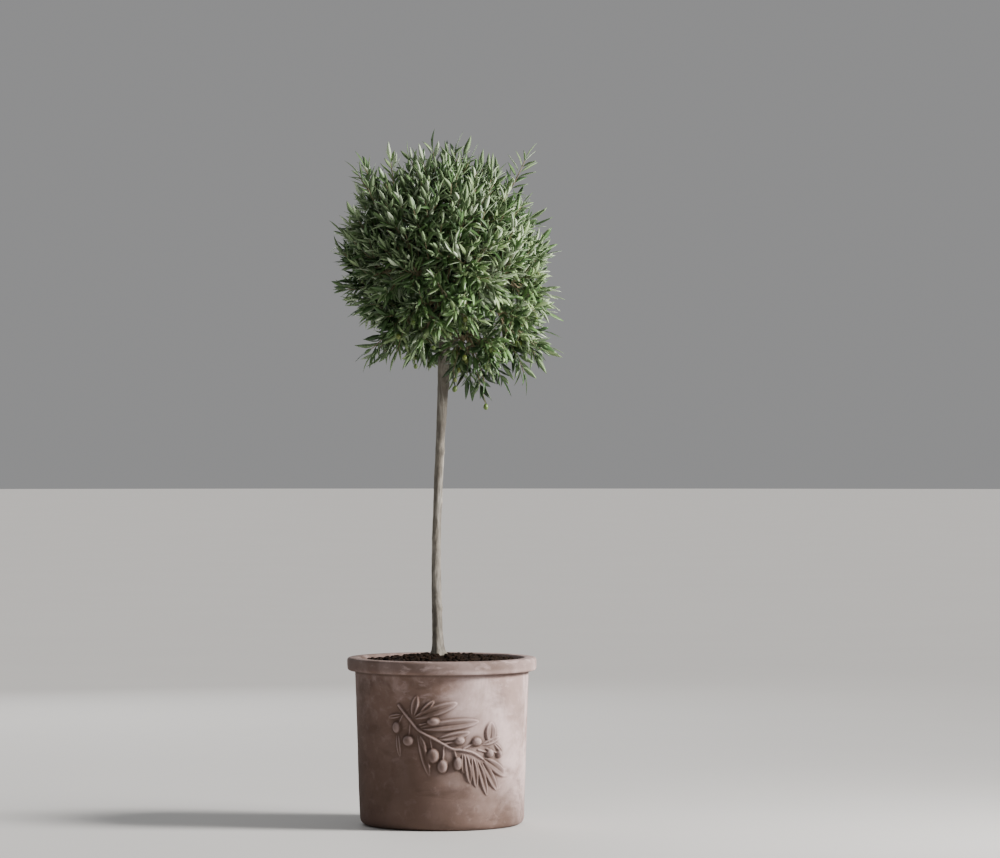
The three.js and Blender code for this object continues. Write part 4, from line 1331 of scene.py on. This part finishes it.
def close_to(ways, azimuth, elevation, breadth):
    """How close directions come to one, from 1 at it to nearly 0 beyond its breadth in degrees."""
    off = np.degrees(np.arccos(np.clip(ways @ direction_of(azimuth, elevation), -1, 1)))
    return np.exp(-((off / breadth) ** 2))


def hollow_depth(ways):
    """How much of the crown's reach its hollows take away in each direction."""
    return sum(depth * close_to(ways, *hollow) for *hollow, depth in HOLLOWS)


def bough_line(number):
    """The centre line of a mass's bough, from the trunk towards the middle of the mass."""
    core = MASS_CORES[number]
    _, elevation, _ = MASSES[MASS_NAMES[number]]
    slope = next(slope for above, slope in BOUGH_SLOPES if elevation > above)
    level = np.hypot(*(core - CROWN_CENTRE)[:2])
    spread = BOUGH_SPREAD * (number % 3 - 1)
    root = trunk_at(np.clip(core[2] - slope * level + spread, BOUGH_LOWEST + spread, BOUGH_HIGHEST))
    tip = core + (root - core) * BOUGH_SHORT
    middle = root + (tip - root) * BOUGH_BEND
    middle[2] -= BOUGH_BOW * np.linalg.norm(core - root)
    return bezier(root, middle, tip, BOUGH_POINTS)


def limb_lines():
    """The line of each mass's bough with its stem, to the middle of the mass."""
    lines = []
    for number, name in enumerate(MASS_NAMES):
        limb = trunk_rows(TOP_ROWS)[-TOP_KEPT:, :3] if name == "top" else bough_line(number)
        onward = unit(limb[-1] - limb[-2])
        core = MASS_CORES[number]
        bend = limb[-1] + onward * np.linalg.norm(core - limb[-1]) * STEM_BEND
        lines.append(np.vstack([limb, bezier(limb[-1], bend, core, STEM_POINTS)[1:]]))
    return lines


def shoot_lines(leaf_length):
    """The leading shoots, spread evenly over the crown, with the number of each one's mass."""
    ways = even_directions(SHOOT_COUNT)
    reach = reach_towards(ways) * SHOOT_REACH - leaf_length * SHOOT_SHORT
    tips = [(int(np.argmax(MASS_WAYS @ way)), CROWN_CENTRE + way * far) for way, far in zip(ways, reach)]
    for name, ends in STRAY_SHOOTS:
        number = MASS_NAMES.index(name)
        core = MASS_CORES[number]
        tips += [(number, stray_end(np.array(end), core, leaf_length)) for end in ends]
    lines = []
    for number, tip in tips:
        core = MASS_CORES[number]
        away = tip - core
        root = core + away * SHOOT_START
        bend = root + (tip - root) * SHOOT_BEND - shoot_lift(tip) * np.linalg.norm(away)
        lines.append((number, bezier(root, bend, tip, SHOOT_POINTS)))
    return lines


def shoot_lift(tip):
    """How a shoot turns as a share of its length: up towards the light, and down under its fruit."""
    return UP * (SHOOT_LIFT if tip[2] > FRUIT_HEIGHT else -SHOOT_LIFT)


def stray_end(tip, core, leaf_length):
    """Where the twig of a stray shoot ends, so that its end leaf reaches the tip."""
    away = tip - core
    onward = unit(away * (1 - SHOOT_BEND) + shoot_lift(tip) * np.linalg.norm(away))
    return tip - onward * leaf_length * STRAY_SHORT


def leader_lines(leaf_length, rng):
    """Upright shoots spread over the upper crown, which stand out of its outline by themselves."""
    ways = even_directions(LEADER_COUNT, turned=LEADER_TURN)
    ways = unit(ways + rng.normal(0, LEADER_SCATTER, ways.shape))
    ways = ways[ways[:, 2] > LEADER_LOWEST]
    habits = unit(ways + UP * LEADER_RISE + rng.normal(0, LEADER_LEAN, ways.shape))
    far = reach_towards(ways) * rng.uniform(*LEADER_REACH, len(ways)) - leaf_length * LEADER_SHORT
    open_ways = hollow_depth(ways) < LEADER_HOLLOW
    ways, habits, far = ways[open_ways], habits[open_ways], far[open_ways]
    tips = CROWN_CENTRE + ways * far[:, None]
    roots = tips - habits * LEADER_LENGTH - ways * LEADER_SET_IN
    bends = (roots + tips) / 2 + ways * LEADER_BOW
    return [bezier(root, bend, tip, LEADER_POINTS) for root, bend, tip in zip(roots, bends, tips)]


def growth_habit(ways, rng):
    """The direction that twigs end in: upright over most of the crown, spreading underneath it."""
    level = unit(ways * (1, 1, 0) + 1e-6)
    upright = unit(ways + UP * rng.uniform(*HABIT_RISE, (len(ways), 1)))
    spreading = unit(ways + level * UNDER_SPREAD + UP * rng.uniform(*UNDER_RISE, (len(ways), 1)))
    low = np.clip((-ways[:, 2:] - UNDER_FROM) / UNDER_FULL, 0, 1)
    return unit(upright * (1 - low) + spreading * low + rng.normal(0, HABIT_SCATTER, ways.shape))


def twig_ends(layer, share, count, leaf_length, rng):
    """The ways, growth directions and tips of one layer's twigs, drawn together into sprays."""
    leading = even_directions(SHOOT_COUNT)
    ways = even_directions(count, turned=layer * LAYER_TURN)
    ways = unit(ways + rng.normal(0, TWIG_SCATTER, ways.shape))
    ways = unit(ways + (leading[np.argmax(ways @ leading.T, axis=1)] - ways) * SPRAY_PULL)
    habits = growth_habit(ways, rng)
    lumps = lattice_noise(ways, LUMP_SIZE, SEEDS["lumps"] + layer)
    lumps = LUMP_DEPTH * np.minimum(lumps, LUMP_HIGHEST)
    far = share + lumps - hollow_depth(ways) + rng.uniform(*TWIG_RANGE, len(ways))
    far *= reach_towards(ways)
    far -= leaf_length * TWIG_SHORT * np.sum(ways * habits, axis=1)
    return zip(ways, habits, CROWN_CENTRE + ways * far[:, None])


def twig_lines(shoots, count, leaf_length, rng):
    """Twigs whose tips fill the crown's layers evenly, each grown from the nearest leading shoot."""
    starts = np.vstack([line[SHOOT_BARE:-1] for _, line in shoots])
    ways_on = np.vstack([np.diff(line, axis=0)[SHOOT_BARE:] for _, line in shoots])
    owners = np.concatenate([[number] * (len(line) - 1 - SHOOT_BARE) for number, line in shoots])
    twigs = []
    for layer, (share, part) in enumerate(TWIG_LAYERS):
        for way, habit, tip in twig_ends(layer, share, int(count * part), leaf_length, rng):
            if tip[2] < BARE_BELOW and np.hypot(*(tip - trunk_at(tip[2]))[:2]) < BARE_ASIDE:
                continue
            owner = np.argmax(MASS_WAYS @ way)
            off = np.linalg.norm(starts - (tip - habit * TWIG_BEHIND), axis=1)
            nearest = np.argmin(off + OTHER_MASS * (owners != owner))
            root, onward = starts[nearest], unit(ways_on[nearest])
            length = np.linalg.norm(tip - root)
            early = root + onward * length * TWIG_ON
            late = tip - habit * length * TWIG_BACK
            bend = early * TWIG_WEIGHTS[0] + late * TWIG_WEIGHTS[1]
            twigs.append((layer, bezier(root, bend, tip, TWIG_POINTS)))
    return twigs


def leaf_rows(line, start, spacing, spread, end_size, rng):
    """The leaves of one twig: opposite pairs turned a quarter each, and one at its tip.

    Each row holds a foot, a direction, the way its face looks, its share of the full size and its
    age, from 0 at the twig's tip to 1.
    """
    steps = np.linalg.norm(np.diff(line, axis=0), axis=1)
    run = np.concatenate([[0], np.cumsum(steps)])
    alongs = unit(np.gradient(line, axis=0))
    first_turn = rng.uniform(0, math.pi)
    places = np.arange(run[-1] - rng.uniform(*PAIR_FROM_TIP), run[-1] * start, -spacing)
    rows = []
    for pair, place in enumerate(places):
        foot, along = (
            np.array([np.interp(place, run, values[:, axis]) for axis in range(3)])
            for values in (line, alongs)
        )
        along = unit(along)
        aside = unit(np.cross(along, UP + 0.01))
        other = np.cross(along, aside)
        turn = first_turn + pair * math.pi / 2 + rng.normal(0, PAIR_SCATTER)
        rank = min(pair, 2)
        for way in (0, math.pi):
            angle = turn + way + rng.normal(0, LEAF_SCATTER)
            out = aside * math.cos(angle) + other * math.sin(angle)
            lean = spread * rng.uniform(*LEAF_LEANS) * PAIR_LEANS[rank]
            direction = unit(along * math.cos(lean) + out * math.sin(lean))
            size = rng.uniform(*LEAF_SIZES) * PAIR_SIZES[rank]
            face = along + UP * rng.uniform(*FACE_RISE) + rng.normal(0, FACE_SCATTER, 3)
            rows.append((foot, direction, face, size, min(pair / AGED_PAIR, 1.0)))
    end_face = UP + rng.normal(0, END_SCATTER, 3)
    rows.append((line[-1], alongs[-1], end_face, end_size * rng.uniform(*END_SIZES), 0.0))
    return rows


def clear_of_limbs(places, margin):
    """Whether each place is outside the trunk and the boughs by a margin."""
    rows = trunk_rows(TRUNK_COARSE)
    limbs = [(rows[:, :3], rows[:, 3])]
    for line in limb_lines():
        limbs.append((line, np.full(len(line), BOUGH_RADII[1])))
    clear = np.ones(len(places), bool)
    for line, radii in limbs:
        off = np.linalg.norm(places[:, None] - line[None], axis=2) - radii
        clear &= off.min(axis=1) > margin
    return clear


@functools.lru_cache(maxsize=1)
def grow_crown(twig_count, leaf_length, spacing, spread, seed):
    """The crown's shoots, twigs and leaves, grown once for the operators that need them."""
    rng = np.random.default_rng(seed)
    shoots = shoot_lines(leaf_length)
    leaders = leader_lines(leaf_length, rng)
    twigs = twig_lines(shoots, twig_count, leaf_length, rng)
    sets = [(line, *LEAFY["shoot"]) for _, line in shoots[:SHOOT_COUNT]]
    sets += [(line, *LEAFY["stray"]) for _, line in shoots[SHOOT_COUNT:]]
    sets += [(line, *LEAFY["leader"]) for line in leaders]
    sets += [(line, *LEAFY["twig"]) for _, line in twigs]
    rows, sprays = [], []
    for number, (line, start, end_size, standing_out) in enumerate(sets):
        new = leaf_rows(line, start, spacing, spread, end_size, np.random.default_rng([seed, number]))
        rows += new
        sprays += [(number, standing_out)] * len(new)
    foot, direction, face, size, age = (np.array(column) for column in zip(*rows))
    spray, standing_out = (np.array(column) for column in zip(*sprays))
    tip = foot + direction * (size * leaf_length)[:, None]
    out = tip - CROWN_CENTRE
    inside = np.linalg.norm(out, axis=1) < reach_towards(unit(out)) + RAGGED
    keep = (inside | standing_out) & clear_of_limbs(tip, TIP_CLEAR)
    keep = keep & clear_of_limbs((foot + tip) / 2, MIDDLE_CLEAR)
    leaves = {"foot": foot, "direction": direction, "face": face, "size": size, "age": age, "spray": spray}
    leaves = {name: values[keep] for name, values in leaves.items()}
    return [line for _, line in shoots] + leaders, twigs, leaves


def grown(settings):
    """The crown that the settings ask for."""
    return grow_crown(
        settings.twigs,
        settings.leaf_length,
        settings.leaf_spacing,
        settings.leaf_spread,
        settings.seed,
    )


def build_twigs(settings):
    """The leading shoots and the twigs that carry the leaves."""
    shoots, twigs, _ = grown(settings)
    kinds = [(shoots, SHOOT_RADII, SHOOT_SIDES), ([line for _, line in twigs], TWIG_RADII, TWIG_SIDES)]
    parts = []
    for lines, radii, sides in kinds:
        for line in lines:
            points, faces = tube(line, np.linspace(*radii, len(line)), sides)
            parts.append((points, faces, 0))
    twig = bark_material("twig_bark", settings.twig, settings.twig_dark, settings.twig_pale)
    mesh_piece("leafy_twigs", parts, [twig])


def onward_faces(first, second):
    """Two triangles between an edge of a leaf's station and the same edge of the next station."""
    return [(first, second, second + 4), (first, second + 4, first + 4)]


def leaf_template():
    """A leaf's corners as (share along, share aside, fold, upper side) and its triangles."""
    corners = [(0.0, 0.0, 0.0, 0.0)]
    for share, half in LEAF_STATIONS:
        corners += [(share, -half, half, 0.0), (share, 0.0, 0.0, 1.0)]
        corners += [(share, half, half, 0.0), (share, 0.0, 0.0, -1.0)]
    corners.append((1.0, 0.0, 0.0, 0.0))
    last = len(corners) - 1
    upper, under = [(0, 2, 1), (0, 3, 2)], [(0, 1, 4), (0, 4, 3)]
    for station in range(len(LEAF_STATIONS) - 1):
        left, top, right, bottom = (1 + station * 4 + k for k in range(4))
        upper += onward_faces(left, top) + onward_faces(top, right)
        under += onward_faces(bottom, left) + onward_faces(right, bottom)
    left, top, right, bottom = (last - 4 + k for k in range(4))
    upper += [(left, top, last), (top, right, last)]
    under += [(bottom, left, last), (right, bottom, last)]
    return np.array(corners), np.array(upper), np.array(under)


def leaf_points(leaves, settings, rng):
    """The corners of many leaves at once: narrow blades, folded along the midrib and curled back."""
    corners, _, _ = leaf_template()
    share, aside, fold, side = corners.T
    count = len(leaves["size"])
    length = (settings.leaf_length * leaves["size"])[:, None]
    width = settings.leaf_width * leaves["size"] ** WIDTH_GROWTH * rng.uniform(*LEAF_WIDTHS, count)
    width = width[:, None]
    along = leaves["direction"]
    up = unit(leaves["face"] - along * np.sum(leaves["face"] * along, axis=1, keepdims=True))
    across = np.cross(along, up)
    curl = rng.uniform(*LEAF_CURLS, count)[:, None]
    bow = rng.normal(0, LEAF_BOW, count)[:, None]
    rise = -curl * share**2 * length + fold * LEAF_FOLD * width + side * LEAF_THICKNESS / 2
    bend = aside * width / 2 + bow * np.sin(share * math.pi) * length * 0.5
    forward = share * length * (1 - CURL_SHORTENS * curl)
    return (
        leaves["foot"][:, None]
        + along[:, None] * forward[..., None]
        + across[:, None] * bend[..., None]
        + up[:, None] * rise[..., None]
    )


def leaf_colours(settings, leaves, rng):
    """The numbers of each leaf's two finishes: its spray's, with some leaves older or newer, painted light
    on the silvery side and painted shade low down.
    """
    sprays = int(leaves["spray"].max()) + 1
    uppers = len(leaf_uppers(settings))
    spray_tones = rng.normal(0, TONE["spray"], sprays)[leaves["spray"]]
    # Painted light: leaves on the silvery side paler, with more pale undersides.
    silvery = close_to(unit(leaves["foot"] - CROWN_CENTRE), *SILVERY_LIT_SIDE)
    # Painted shade: leaves low in the crown darker, with fewer pale undersides.
    low = np.clip((SHADE_BELOW - leaves["foot"][:, 2]) / SHADE_DEPTH, 0, 1)
    tone = TONE["new"] + TONE["age"] * leaves["age"] + TONE["silvery"] * silvery
    tone = tone + TONE["low"] * low + spray_tones
    tone = tone + rng.normal(0, TONE["leaf"], len(leaves["size"]))
    tone = np.clip(np.round(tone), 0, uppers - 1).astype(int)
    felt = FELT["usual"] + FELT["silvery"] * silvery + FELT["low"] * low + FELT["spray"] * spray_tones
    under = uppers + (rng.random(len(tone)) < felt)
    return tone, under.astype(int)


def leaf_uppers(settings):
    """The names and plain colours of the leaves' upper faces, from old to new."""
    names = ["leaf_deep", "leaf_olive", "leaf_grey", "leaf_fresh", "leaf_pale"]
    return [(name, getattr(settings, name)) for name in names]


def leaf_finish(name, colour, gloss, uneven, grain):
    """The finish of one side of a leaf, from its roughness and sheen, its tone and its grain."""
    leaf = Finish(name, *gloss)
    shade, scale, amount = uneven
    leaf.colour(leaf.tone(colour, tuple(shade * part for part in colour), scale, amount))
    leaf.grain(*grain)
    return leaf.material


def leaf_materials(settings):
    """The finishes of the leaves: five waxy greens above and two silvery felts under."""
    waxy = ((0.36, 0.5), (0.72, 55.0, 0.7), (900.0, 0.0002, 0.3))
    felt = ((0.7, 0.35), (0.8, 70.0, 0.6), (1400.0, 0.0002, 0.5))
    unders = [("leaf_silver", settings.leaf_silver), ("leaf_felt", settings.leaf_felt)]
    finishes = [leaf_finish(name, colour, *waxy) for name, colour in leaf_uppers(settings)]
    return finishes + [leaf_finish(name, colour, *felt) for name, colour in unders]


def build_leaves(settings):
    """The leaves, as one piece for each mass of foliage. Returns how many there are."""
    _, _, leaves = grown(settings)
    rng = np.random.default_rng(settings.seed + SEEDS["leaves"])
    points = leaf_points(leaves, settings, rng)
    tone, under = leaf_colours(settings, leaves, rng)
    _, upper_faces, under_faces = leaf_template()
    owner = np.argmax((points[:, -1] - CROWN_CENTRE) @ MASS_WAYS.T, axis=1)
    finishes = leaf_materials(settings)
    corner_count = points.shape[1]
    sides = ((upper_faces, tone), (under_faces, under))
    for number, name in enumerate(MASS_NAMES):
        mine = np.flatnonzero(owner == number)
        starts = (np.arange(len(mine)) * corner_count)[:, None, None]
        faces = np.vstack([(side[None] + starts).reshape(-1, 3) for side, _ in sides])
        numbers = np.concatenate([np.repeat(finish[mine], len(side)) for side, finish in sides])
        parts = [(points[mine].reshape(-1, 3), faces, numbers)]
        piece = mesh_piece(f"leaves_{name}", parts, finishes)
        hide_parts(f"foliage_{name}")
    return len(points)


# The fruit


def olive_places(settings, rng):
    """Where olives hang: the twig's point that each stalk starts from, and the way to its olive."""
    shoots, twigs, _ = grown(settings)
    along = np.vstack(shoots + [line for _, line in twigs])
    places = []
    for seen in np.array(OLIVES_SEEN):
        above = along[along[:, 2] > seen[2] + OLIVE_DROP]
        start = above[np.argmin(np.linalg.norm(above - seen, axis=1))]
        places.append((start, seen - start))
    lines = [line for layer, line in twigs if layer == 0]
    ends = np.array([line[-1] for line in lines]) - CROWN_CENTRE
    for name, share in FRUIT_SHARES.items():
        way = MASS_WAYS[MASS_NAMES.index(name)]
        near = np.argsort(-(unit(ends) @ way) + FRUIT_LOW * ends[:, 2])[:FRUIT_TWIGS]
        for number in rng.choice(near, size=int(settings.olives * share)):
            hang = unit(np.array([rng.normal(0, STALK_SCATTER), rng.normal(0, STALK_SCATTER), -1.0]))
            start = lines[number][rng.integers(*FRUIT_POINTS)]
            places.append((start, hang * rng.uniform(*STALK_LENGTHS)))
    return places


def build_olives(settings):
    """Olives on thin stalks, hung from the twigs."""
    rng = np.random.default_rng(settings.seed + SEEDS["olives"])
    ball, faces = lump_shape()
    finishes = [
        olive_material("olive_green", settings.olive),
        olive_material("olive_yellow", settings.olive_ripe),
        bark_material("olive_stalk", settings.twig, settings.twig_dark, settings.twig_pale),
    ]
    parts = []
    for place, down in olive_places(settings, rng):
        size = rng.uniform(*OLIVE_SIZES)
        half = settings.olive_length / 2 * size
        middle = place + down
        hang = unit(unit(down) - UP)
        aside = unit(np.cross(hang, [1.0, 0.2, 0.0]))
        axes = np.array([aside, np.cross(hang, aside), hang])
        plump = ball * (settings.olive_width / 2 * size, settings.olive_width / 2 * size, half)
        parts.append((plump @ axes + middle, faces, int(rng.random() < RIPE_SHARE)))
        top = middle - hang * half * 0.9
        stalk = bezier(place, top - hang * np.linalg.norm(top - place) * 0.4, top, STALK_POINTS)
        points, walls = tube(stalk, np.full(STALK_POINTS, STALK_RADIUS), STALK_SIDES)
        parts.append((points, walls, 2))
    mesh_piece("olives", parts, finishes)


def olive_material(name, colour):
    """Smooth, faintly speckled olive skin."""
    skin = Finish(name, 0.34, 0.5)
    lighter = tuple(min(1.0, 1.5 * part) for part in colour)
    skin.colour(skin.tone(colour, lighter, 420.0, 0.45))
    skin.grain(1600.0, 0.0001, 0.3)
    return skin.material


# The stage: floor, lights and camera


def add_light(name, power, kind, place, size, colour):
    """A sun or a square light that looks at the middle of the tree."""
    light = bpy.data.lights.new(name, kind)
    if kind == "SUN":
        light.angle = size
    else:
        light.size = size
    light.energy = power
    light.color = colour
    lamp = bpy.data.objects.new(name, light)
    lamp.location = place
    away = np.array(place) - LIT_PLACE
    turn = math.atan2(away[1], away[0])
    tilt = math.atan2(np.hypot(away[0], away[1]), away[2])
    lamp.rotation_euler = (0.0, tilt, turn)
    bpy.context.scene.collection.objects.link(lamp)


def build_stage(settings):
    """A plain pale floor, light from the right and from behind, and the photograph's camera."""
    disc = bpy.data.meshes.new("floor")
    reach = settings.floor_radius
    corners = [(reach * math.cos(angle), reach * math.sin(angle), 0.0) for angle in full_turn(FLOOR_SIDES)]
    disc.from_pydata(corners, [], [list(range(FLOOR_SIDES))])
    floor = bpy.data.objects.new("floor", disc)
    bpy.context.scene.collection.objects.link(floor)
    paint = Finish("studio_floor", 0.8, 0.2)
    paint.colour(paint.tone(settings.floor, tuple(0.97 * part for part in settings.floor), 1.2, 0.5))
    disc.materials.append(paint.material)

    world = bpy.data.worlds.new("studio")
    world.use_nodes = True
    world.node_tree.nodes["Background"].inputs["Color"].default_value = SKY_COLOUR
    world.node_tree.nodes["Background"].inputs["Strength"].default_value = settings.sky
    bpy.context.scene.world = world
    for name, lamp in LAMPS.items():
        add_light(name, getattr(settings, name), *lamp)

    camera = bpy.data.cameras.new("camera")
    camera.lens = CAMERA_LENS
    camera.sensor_width = FILM_WIDTH
    camera.clip_end = 200.0
    viewer = bpy.data.objects.new("camera", camera)
    viewer.location = CAMERA_PLACE
    viewer.rotation_euler = (math.pi / 2, 0.0, 0.0)
    bpy.context.scene.collection.objects.link(viewer)
    bpy.context.scene.camera = viewer


# Settings, operators and panel


def length_setting(label, about, value):
    """A length in metres."""
    return FloatProperty(
        name=label, description=about, default=value, min=0.0, unit="LENGTH", subtype="DISTANCE",
    )


def power_setting(label, about, value):
    """A lamp's power in watts."""
    return FloatProperty(name=label, description=about, default=value, min=0.0, unit="POWER")


def colour_setting(label, what, value):
    """The plain colour of something."""
    return FloatVectorProperty(
        name=label, description=f"Colour of {what}", default=value, min=0.0, max=1.0, subtype="COLOR",
    )


class PotSettings(PropertyGroup):
    """Sizes and colours of the pot and its soil."""

    rim_radius: length_setting("Rim Radius", "From the pot's axis to the outside of its rim", POT_HIGH.x)
    height: length_setting("Height", "From the ground to the top of the rim", POT_HIGH.z)
    relief: FloatProperty(name="Relief", description="Depth of the relief, as a share", default=1.0)
    clay: colour_setting("Clay", "the bare clay", (0.208, 0.132, 0.106))
    clay_dark: colour_setting("Dark Clay", "the clay's darker parts", (0.100, 0.062, 0.048))
    # The bloom's colour is also the painted light on the pot's right.
    bloom: colour_setting("Bloom", "the pale lime bloom", (0.555, 0.425, 0.410))
    # The rim's colour is partly its weathered clay and partly painted shade.
    rim: colour_setting("Rim", "the rim's weathered clay", (0.140, 0.098, 0.084))
    # This colour serves the stains and also the painted shade at the foot, on the left, round the relief, in
    # its hollows and under the rim.
    stain_and_shade: colour_setting("Stain", "stains, damp and dirt", (0.088, 0.054, 0.041))
    crumbs: IntProperty(name="Crumbs", description="How many crumbs lie on the soil", default=700, min=0)
    crumb_size: length_setting("Crumb Size", "Radius of the largest crumbs", 0.0065)
    # The soil's colours are the moist soil's own dark colour, darkened further by painted shade.
    soil: colour_setting("Soil", "the moist soil", (0.008, 0.0045, 0.003))
    soil_light: colour_setting("Light Soil", "drier crumbs", (0.024, 0.014, 0.009))


class TreeSettings(PropertyGroup):
    """Sizes and colours of the tree."""

    bark_relief: FloatProperty(name="Bark Relief", description="Depth of the bark's ridges", default=1.0)
    bark: colour_setting("Bark", "the bark", (0.192, 0.172, 0.142))
    bark_dark: colour_setting("Dark Bark", "the bark's streaks", (0.078, 0.069, 0.056))
    bark_pale: colour_setting("Pale Bark", "the bark's pale patches", (0.43, 0.405, 0.36))
    twig: colour_setting("Twig", "the twigs", (0.28, 0.235, 0.14))
    twig_dark: colour_setting("Dark Twig", "the twigs' streaks", (0.15, 0.115, 0.065))
    twig_pale: colour_setting("Pale Twig", "the twigs' patches", (0.40, 0.37, 0.25))
    twigs: IntProperty(name="Twigs", description="How many leafy twigs the crown has", default=940, min=1)
    leaf_length: length_setting("Leaf Length", "Length of a full-grown leaf", 0.061)
    leaf_width: length_setting("Leaf Width", "Width of a full-grown leaf", 0.0130)
    leaf_spacing: length_setting("Leaf Spacing", "Distance between pairs of leaves along a twig", 0.0158)
    leaf_spread: FloatProperty(
        name="Leaf Spread", description="Angle between a leaf and its twig",
        default=math.radians(44), subtype="ANGLE",
    )
    seed: IntProperty(name="Seed", description="Another number grows another crown", default=5)
    # The darker greens also carry the painted shade low in the crown, the paler greens and the felt the
    # painted light on the silvery side.
    leaf_deep: colour_setting("Deep Leaf", "the oldest leaves", (0.021, 0.048, 0.013))
    leaf_olive: colour_setting("Olive Leaf", "old leaves", (0.044, 0.097, 0.028))
    leaf_grey: colour_setting("Grey Leaf", "most leaves", (0.083, 0.164, 0.054))
    leaf_fresh: colour_setting("Fresh Leaf", "new leaves", (0.137, 0.246, 0.083))
    leaf_pale: colour_setting("Pale Leaf", "the newest leaves", (0.292, 0.415, 0.182))
    leaf_silver: colour_setting("Silver Underside", "most leaves' undersides", (0.201, 0.288, 0.144))
    leaf_felt: colour_setting("Felt Underside", "the other leaves' undersides", (0.512, 0.620, 0.425))
    olives: IntProperty(name="Olives", description="How many olives hang in the crown", default=90, min=0)
    olive_length: length_setting("Olive Length", "Length of an olive", 0.0165)
    olive_width: length_setting("Olive Width", "Width of an olive", 0.0128)
    olive: colour_setting("Olive", "green olives", (0.085, 0.135, 0.028))
    olive_ripe: colour_setting("Ripe Olive", "olives that turn", (0.13, 0.165, 0.035))


class StageSettings(PropertyGroup):
    """The floor and the light."""

    floor_radius: length_setting("Floor Radius", "Radius of the floor", 60.0)
    floor: colour_setting("Floor", "the floor", (0.56, 0.55, 0.535))
    sky: FloatProperty(name="Sky", description="Strength of the light from all sides", default=0.32)
    key: FloatProperty(name="Key", description="Strength of the sun from the right", default=6.2)
    side: power_setting("Side", "Power of the lamp at the right", 82.0)
    fill: power_setting("Fill", "Power of the light from the left", 6.0)
    back: power_setting("Back", "Power of the light from behind", 75.0)


class OLIVETREE_OT_pot(Operator):
    """Build the clay pot with its relief"""

    bl_idname = "olivetree.pot"
    bl_label = "Clay Pot"

    def execute(self, context):
        build_pot(context.scene.olive_pot)
        return {"FINISHED"}


class OLIVETREE_OT_soil(Operator):
    """Fill the pot with soil"""

    bl_idname = "olivetree.soil"
    bl_label = "Soil"

    def execute(self, context):
        build_soil(context.scene.olive_pot)
        return {"FINISHED"}


class OLIVETREE_OT_limbs(Operator):
    """Build the trunk and its boughs with their bark"""

    bl_idname = "olivetree.limbs"
    bl_label = "Trunk and Boughs"

    def execute(self, context):
        build_limbs(context.scene.olive_tree)
        return {"FINISHED"}


class OLIVETREE_OT_twigs(Operator):
    """Grow the leading shoots and the twigs"""

    bl_idname = "olivetree.twigs"
    bl_label = "Twigs"

    def execute(self, context):
        build_twigs(context.scene.olive_tree)
        return {"FINISHED"}


class OLIVETREE_OT_leaves(Operator):
    """Put the leaves on the twigs"""

    bl_idname = "olivetree.leaves"
    bl_label = "Leaves"

    def execute(self, context):
        if build_leaves(context.scene.olive_tree) == 0:
            raise RuntimeError("the crown has no leaves: give it more twigs")
        return {"FINISHED"}


class OLIVETREE_OT_olives(Operator):
    """Hang the olives on the low twigs"""

    bl_idname = "olivetree.olives"
    bl_label = "Olives"

    def execute(self, context):
        build_olives(context.scene.olive_tree)
        return {"FINISHED"}


class OLIVETREE_OT_stage(Operator):
    """Set out the floor, the lights and the camera"""

    bl_idname = "olivetree.stage"
    bl_label = "Stage"

    def execute(self, context):
        build_stage(context.scene.olive_stage)
        return {"FINISHED"}


OPERATORS = (
    OLIVETREE_OT_pot,
    OLIVETREE_OT_soil,
    OLIVETREE_OT_limbs,
    OLIVETREE_OT_twigs,
    OLIVETREE_OT_leaves,
    OLIVETREE_OT_olives,
    OLIVETREE_OT_stage,
)


class OLIVETREE_PT_parts(Panel):
    """The parts of the potted olive tree"""

    bl_idname = "OLIVETREE_PT_parts"
    bl_label = "Potted Olive Tree"
    bl_space_type = "VIEW_3D"
    bl_region_type = "UI"
    bl_category = "Olive Tree"

    def draw(self, context):
        for operator in OPERATORS:
            self.layout.operator(operator.bl_idname)
        for group in (context.scene.olive_pot, context.scene.olive_tree, context.scene.olive_stage):
            box = self.layout.box()
            for name in group.__annotations__:
                box.prop(group, name)


CLASSES = (PotSettings, TreeSettings, StageSettings, *OPERATORS, OLIVETREE_PT_parts)


def register():
    """Registers the classes and the settings."""
    for cls in CLASSES:
        bpy.utils.register_class(cls)
    bpy.types.Scene.olive_pot = PointerProperty(type=PotSettings)
    bpy.types.Scene.olive_tree = PointerProperty(type=TreeSettings)
    bpy.types.Scene.olive_stage = PointerProperty(type=StageSettings)


def unregister():
    """Takes the settings and the classes out again."""
    del bpy.types.Scene.olive_stage
    del bpy.types.Scene.olive_tree
    del bpy.types.Scene.olive_pot
    for cls in reversed(CLASSES):
        bpy.utils.unregister_class(cls)


def main():
    """Builds the dressed scene by its operators."""
    register()
    bpy.ops.olivetree.pot()
    bpy.ops.olivetree.soil()
    bpy.ops.olivetree.limbs()
    bpy.ops.olivetree.twigs()
    bpy.ops.olivetree.leaves()
    bpy.ops.olivetree.olives()
    bpy.ops.olivetree.stage()


if __name__ == "__main__":
    main()
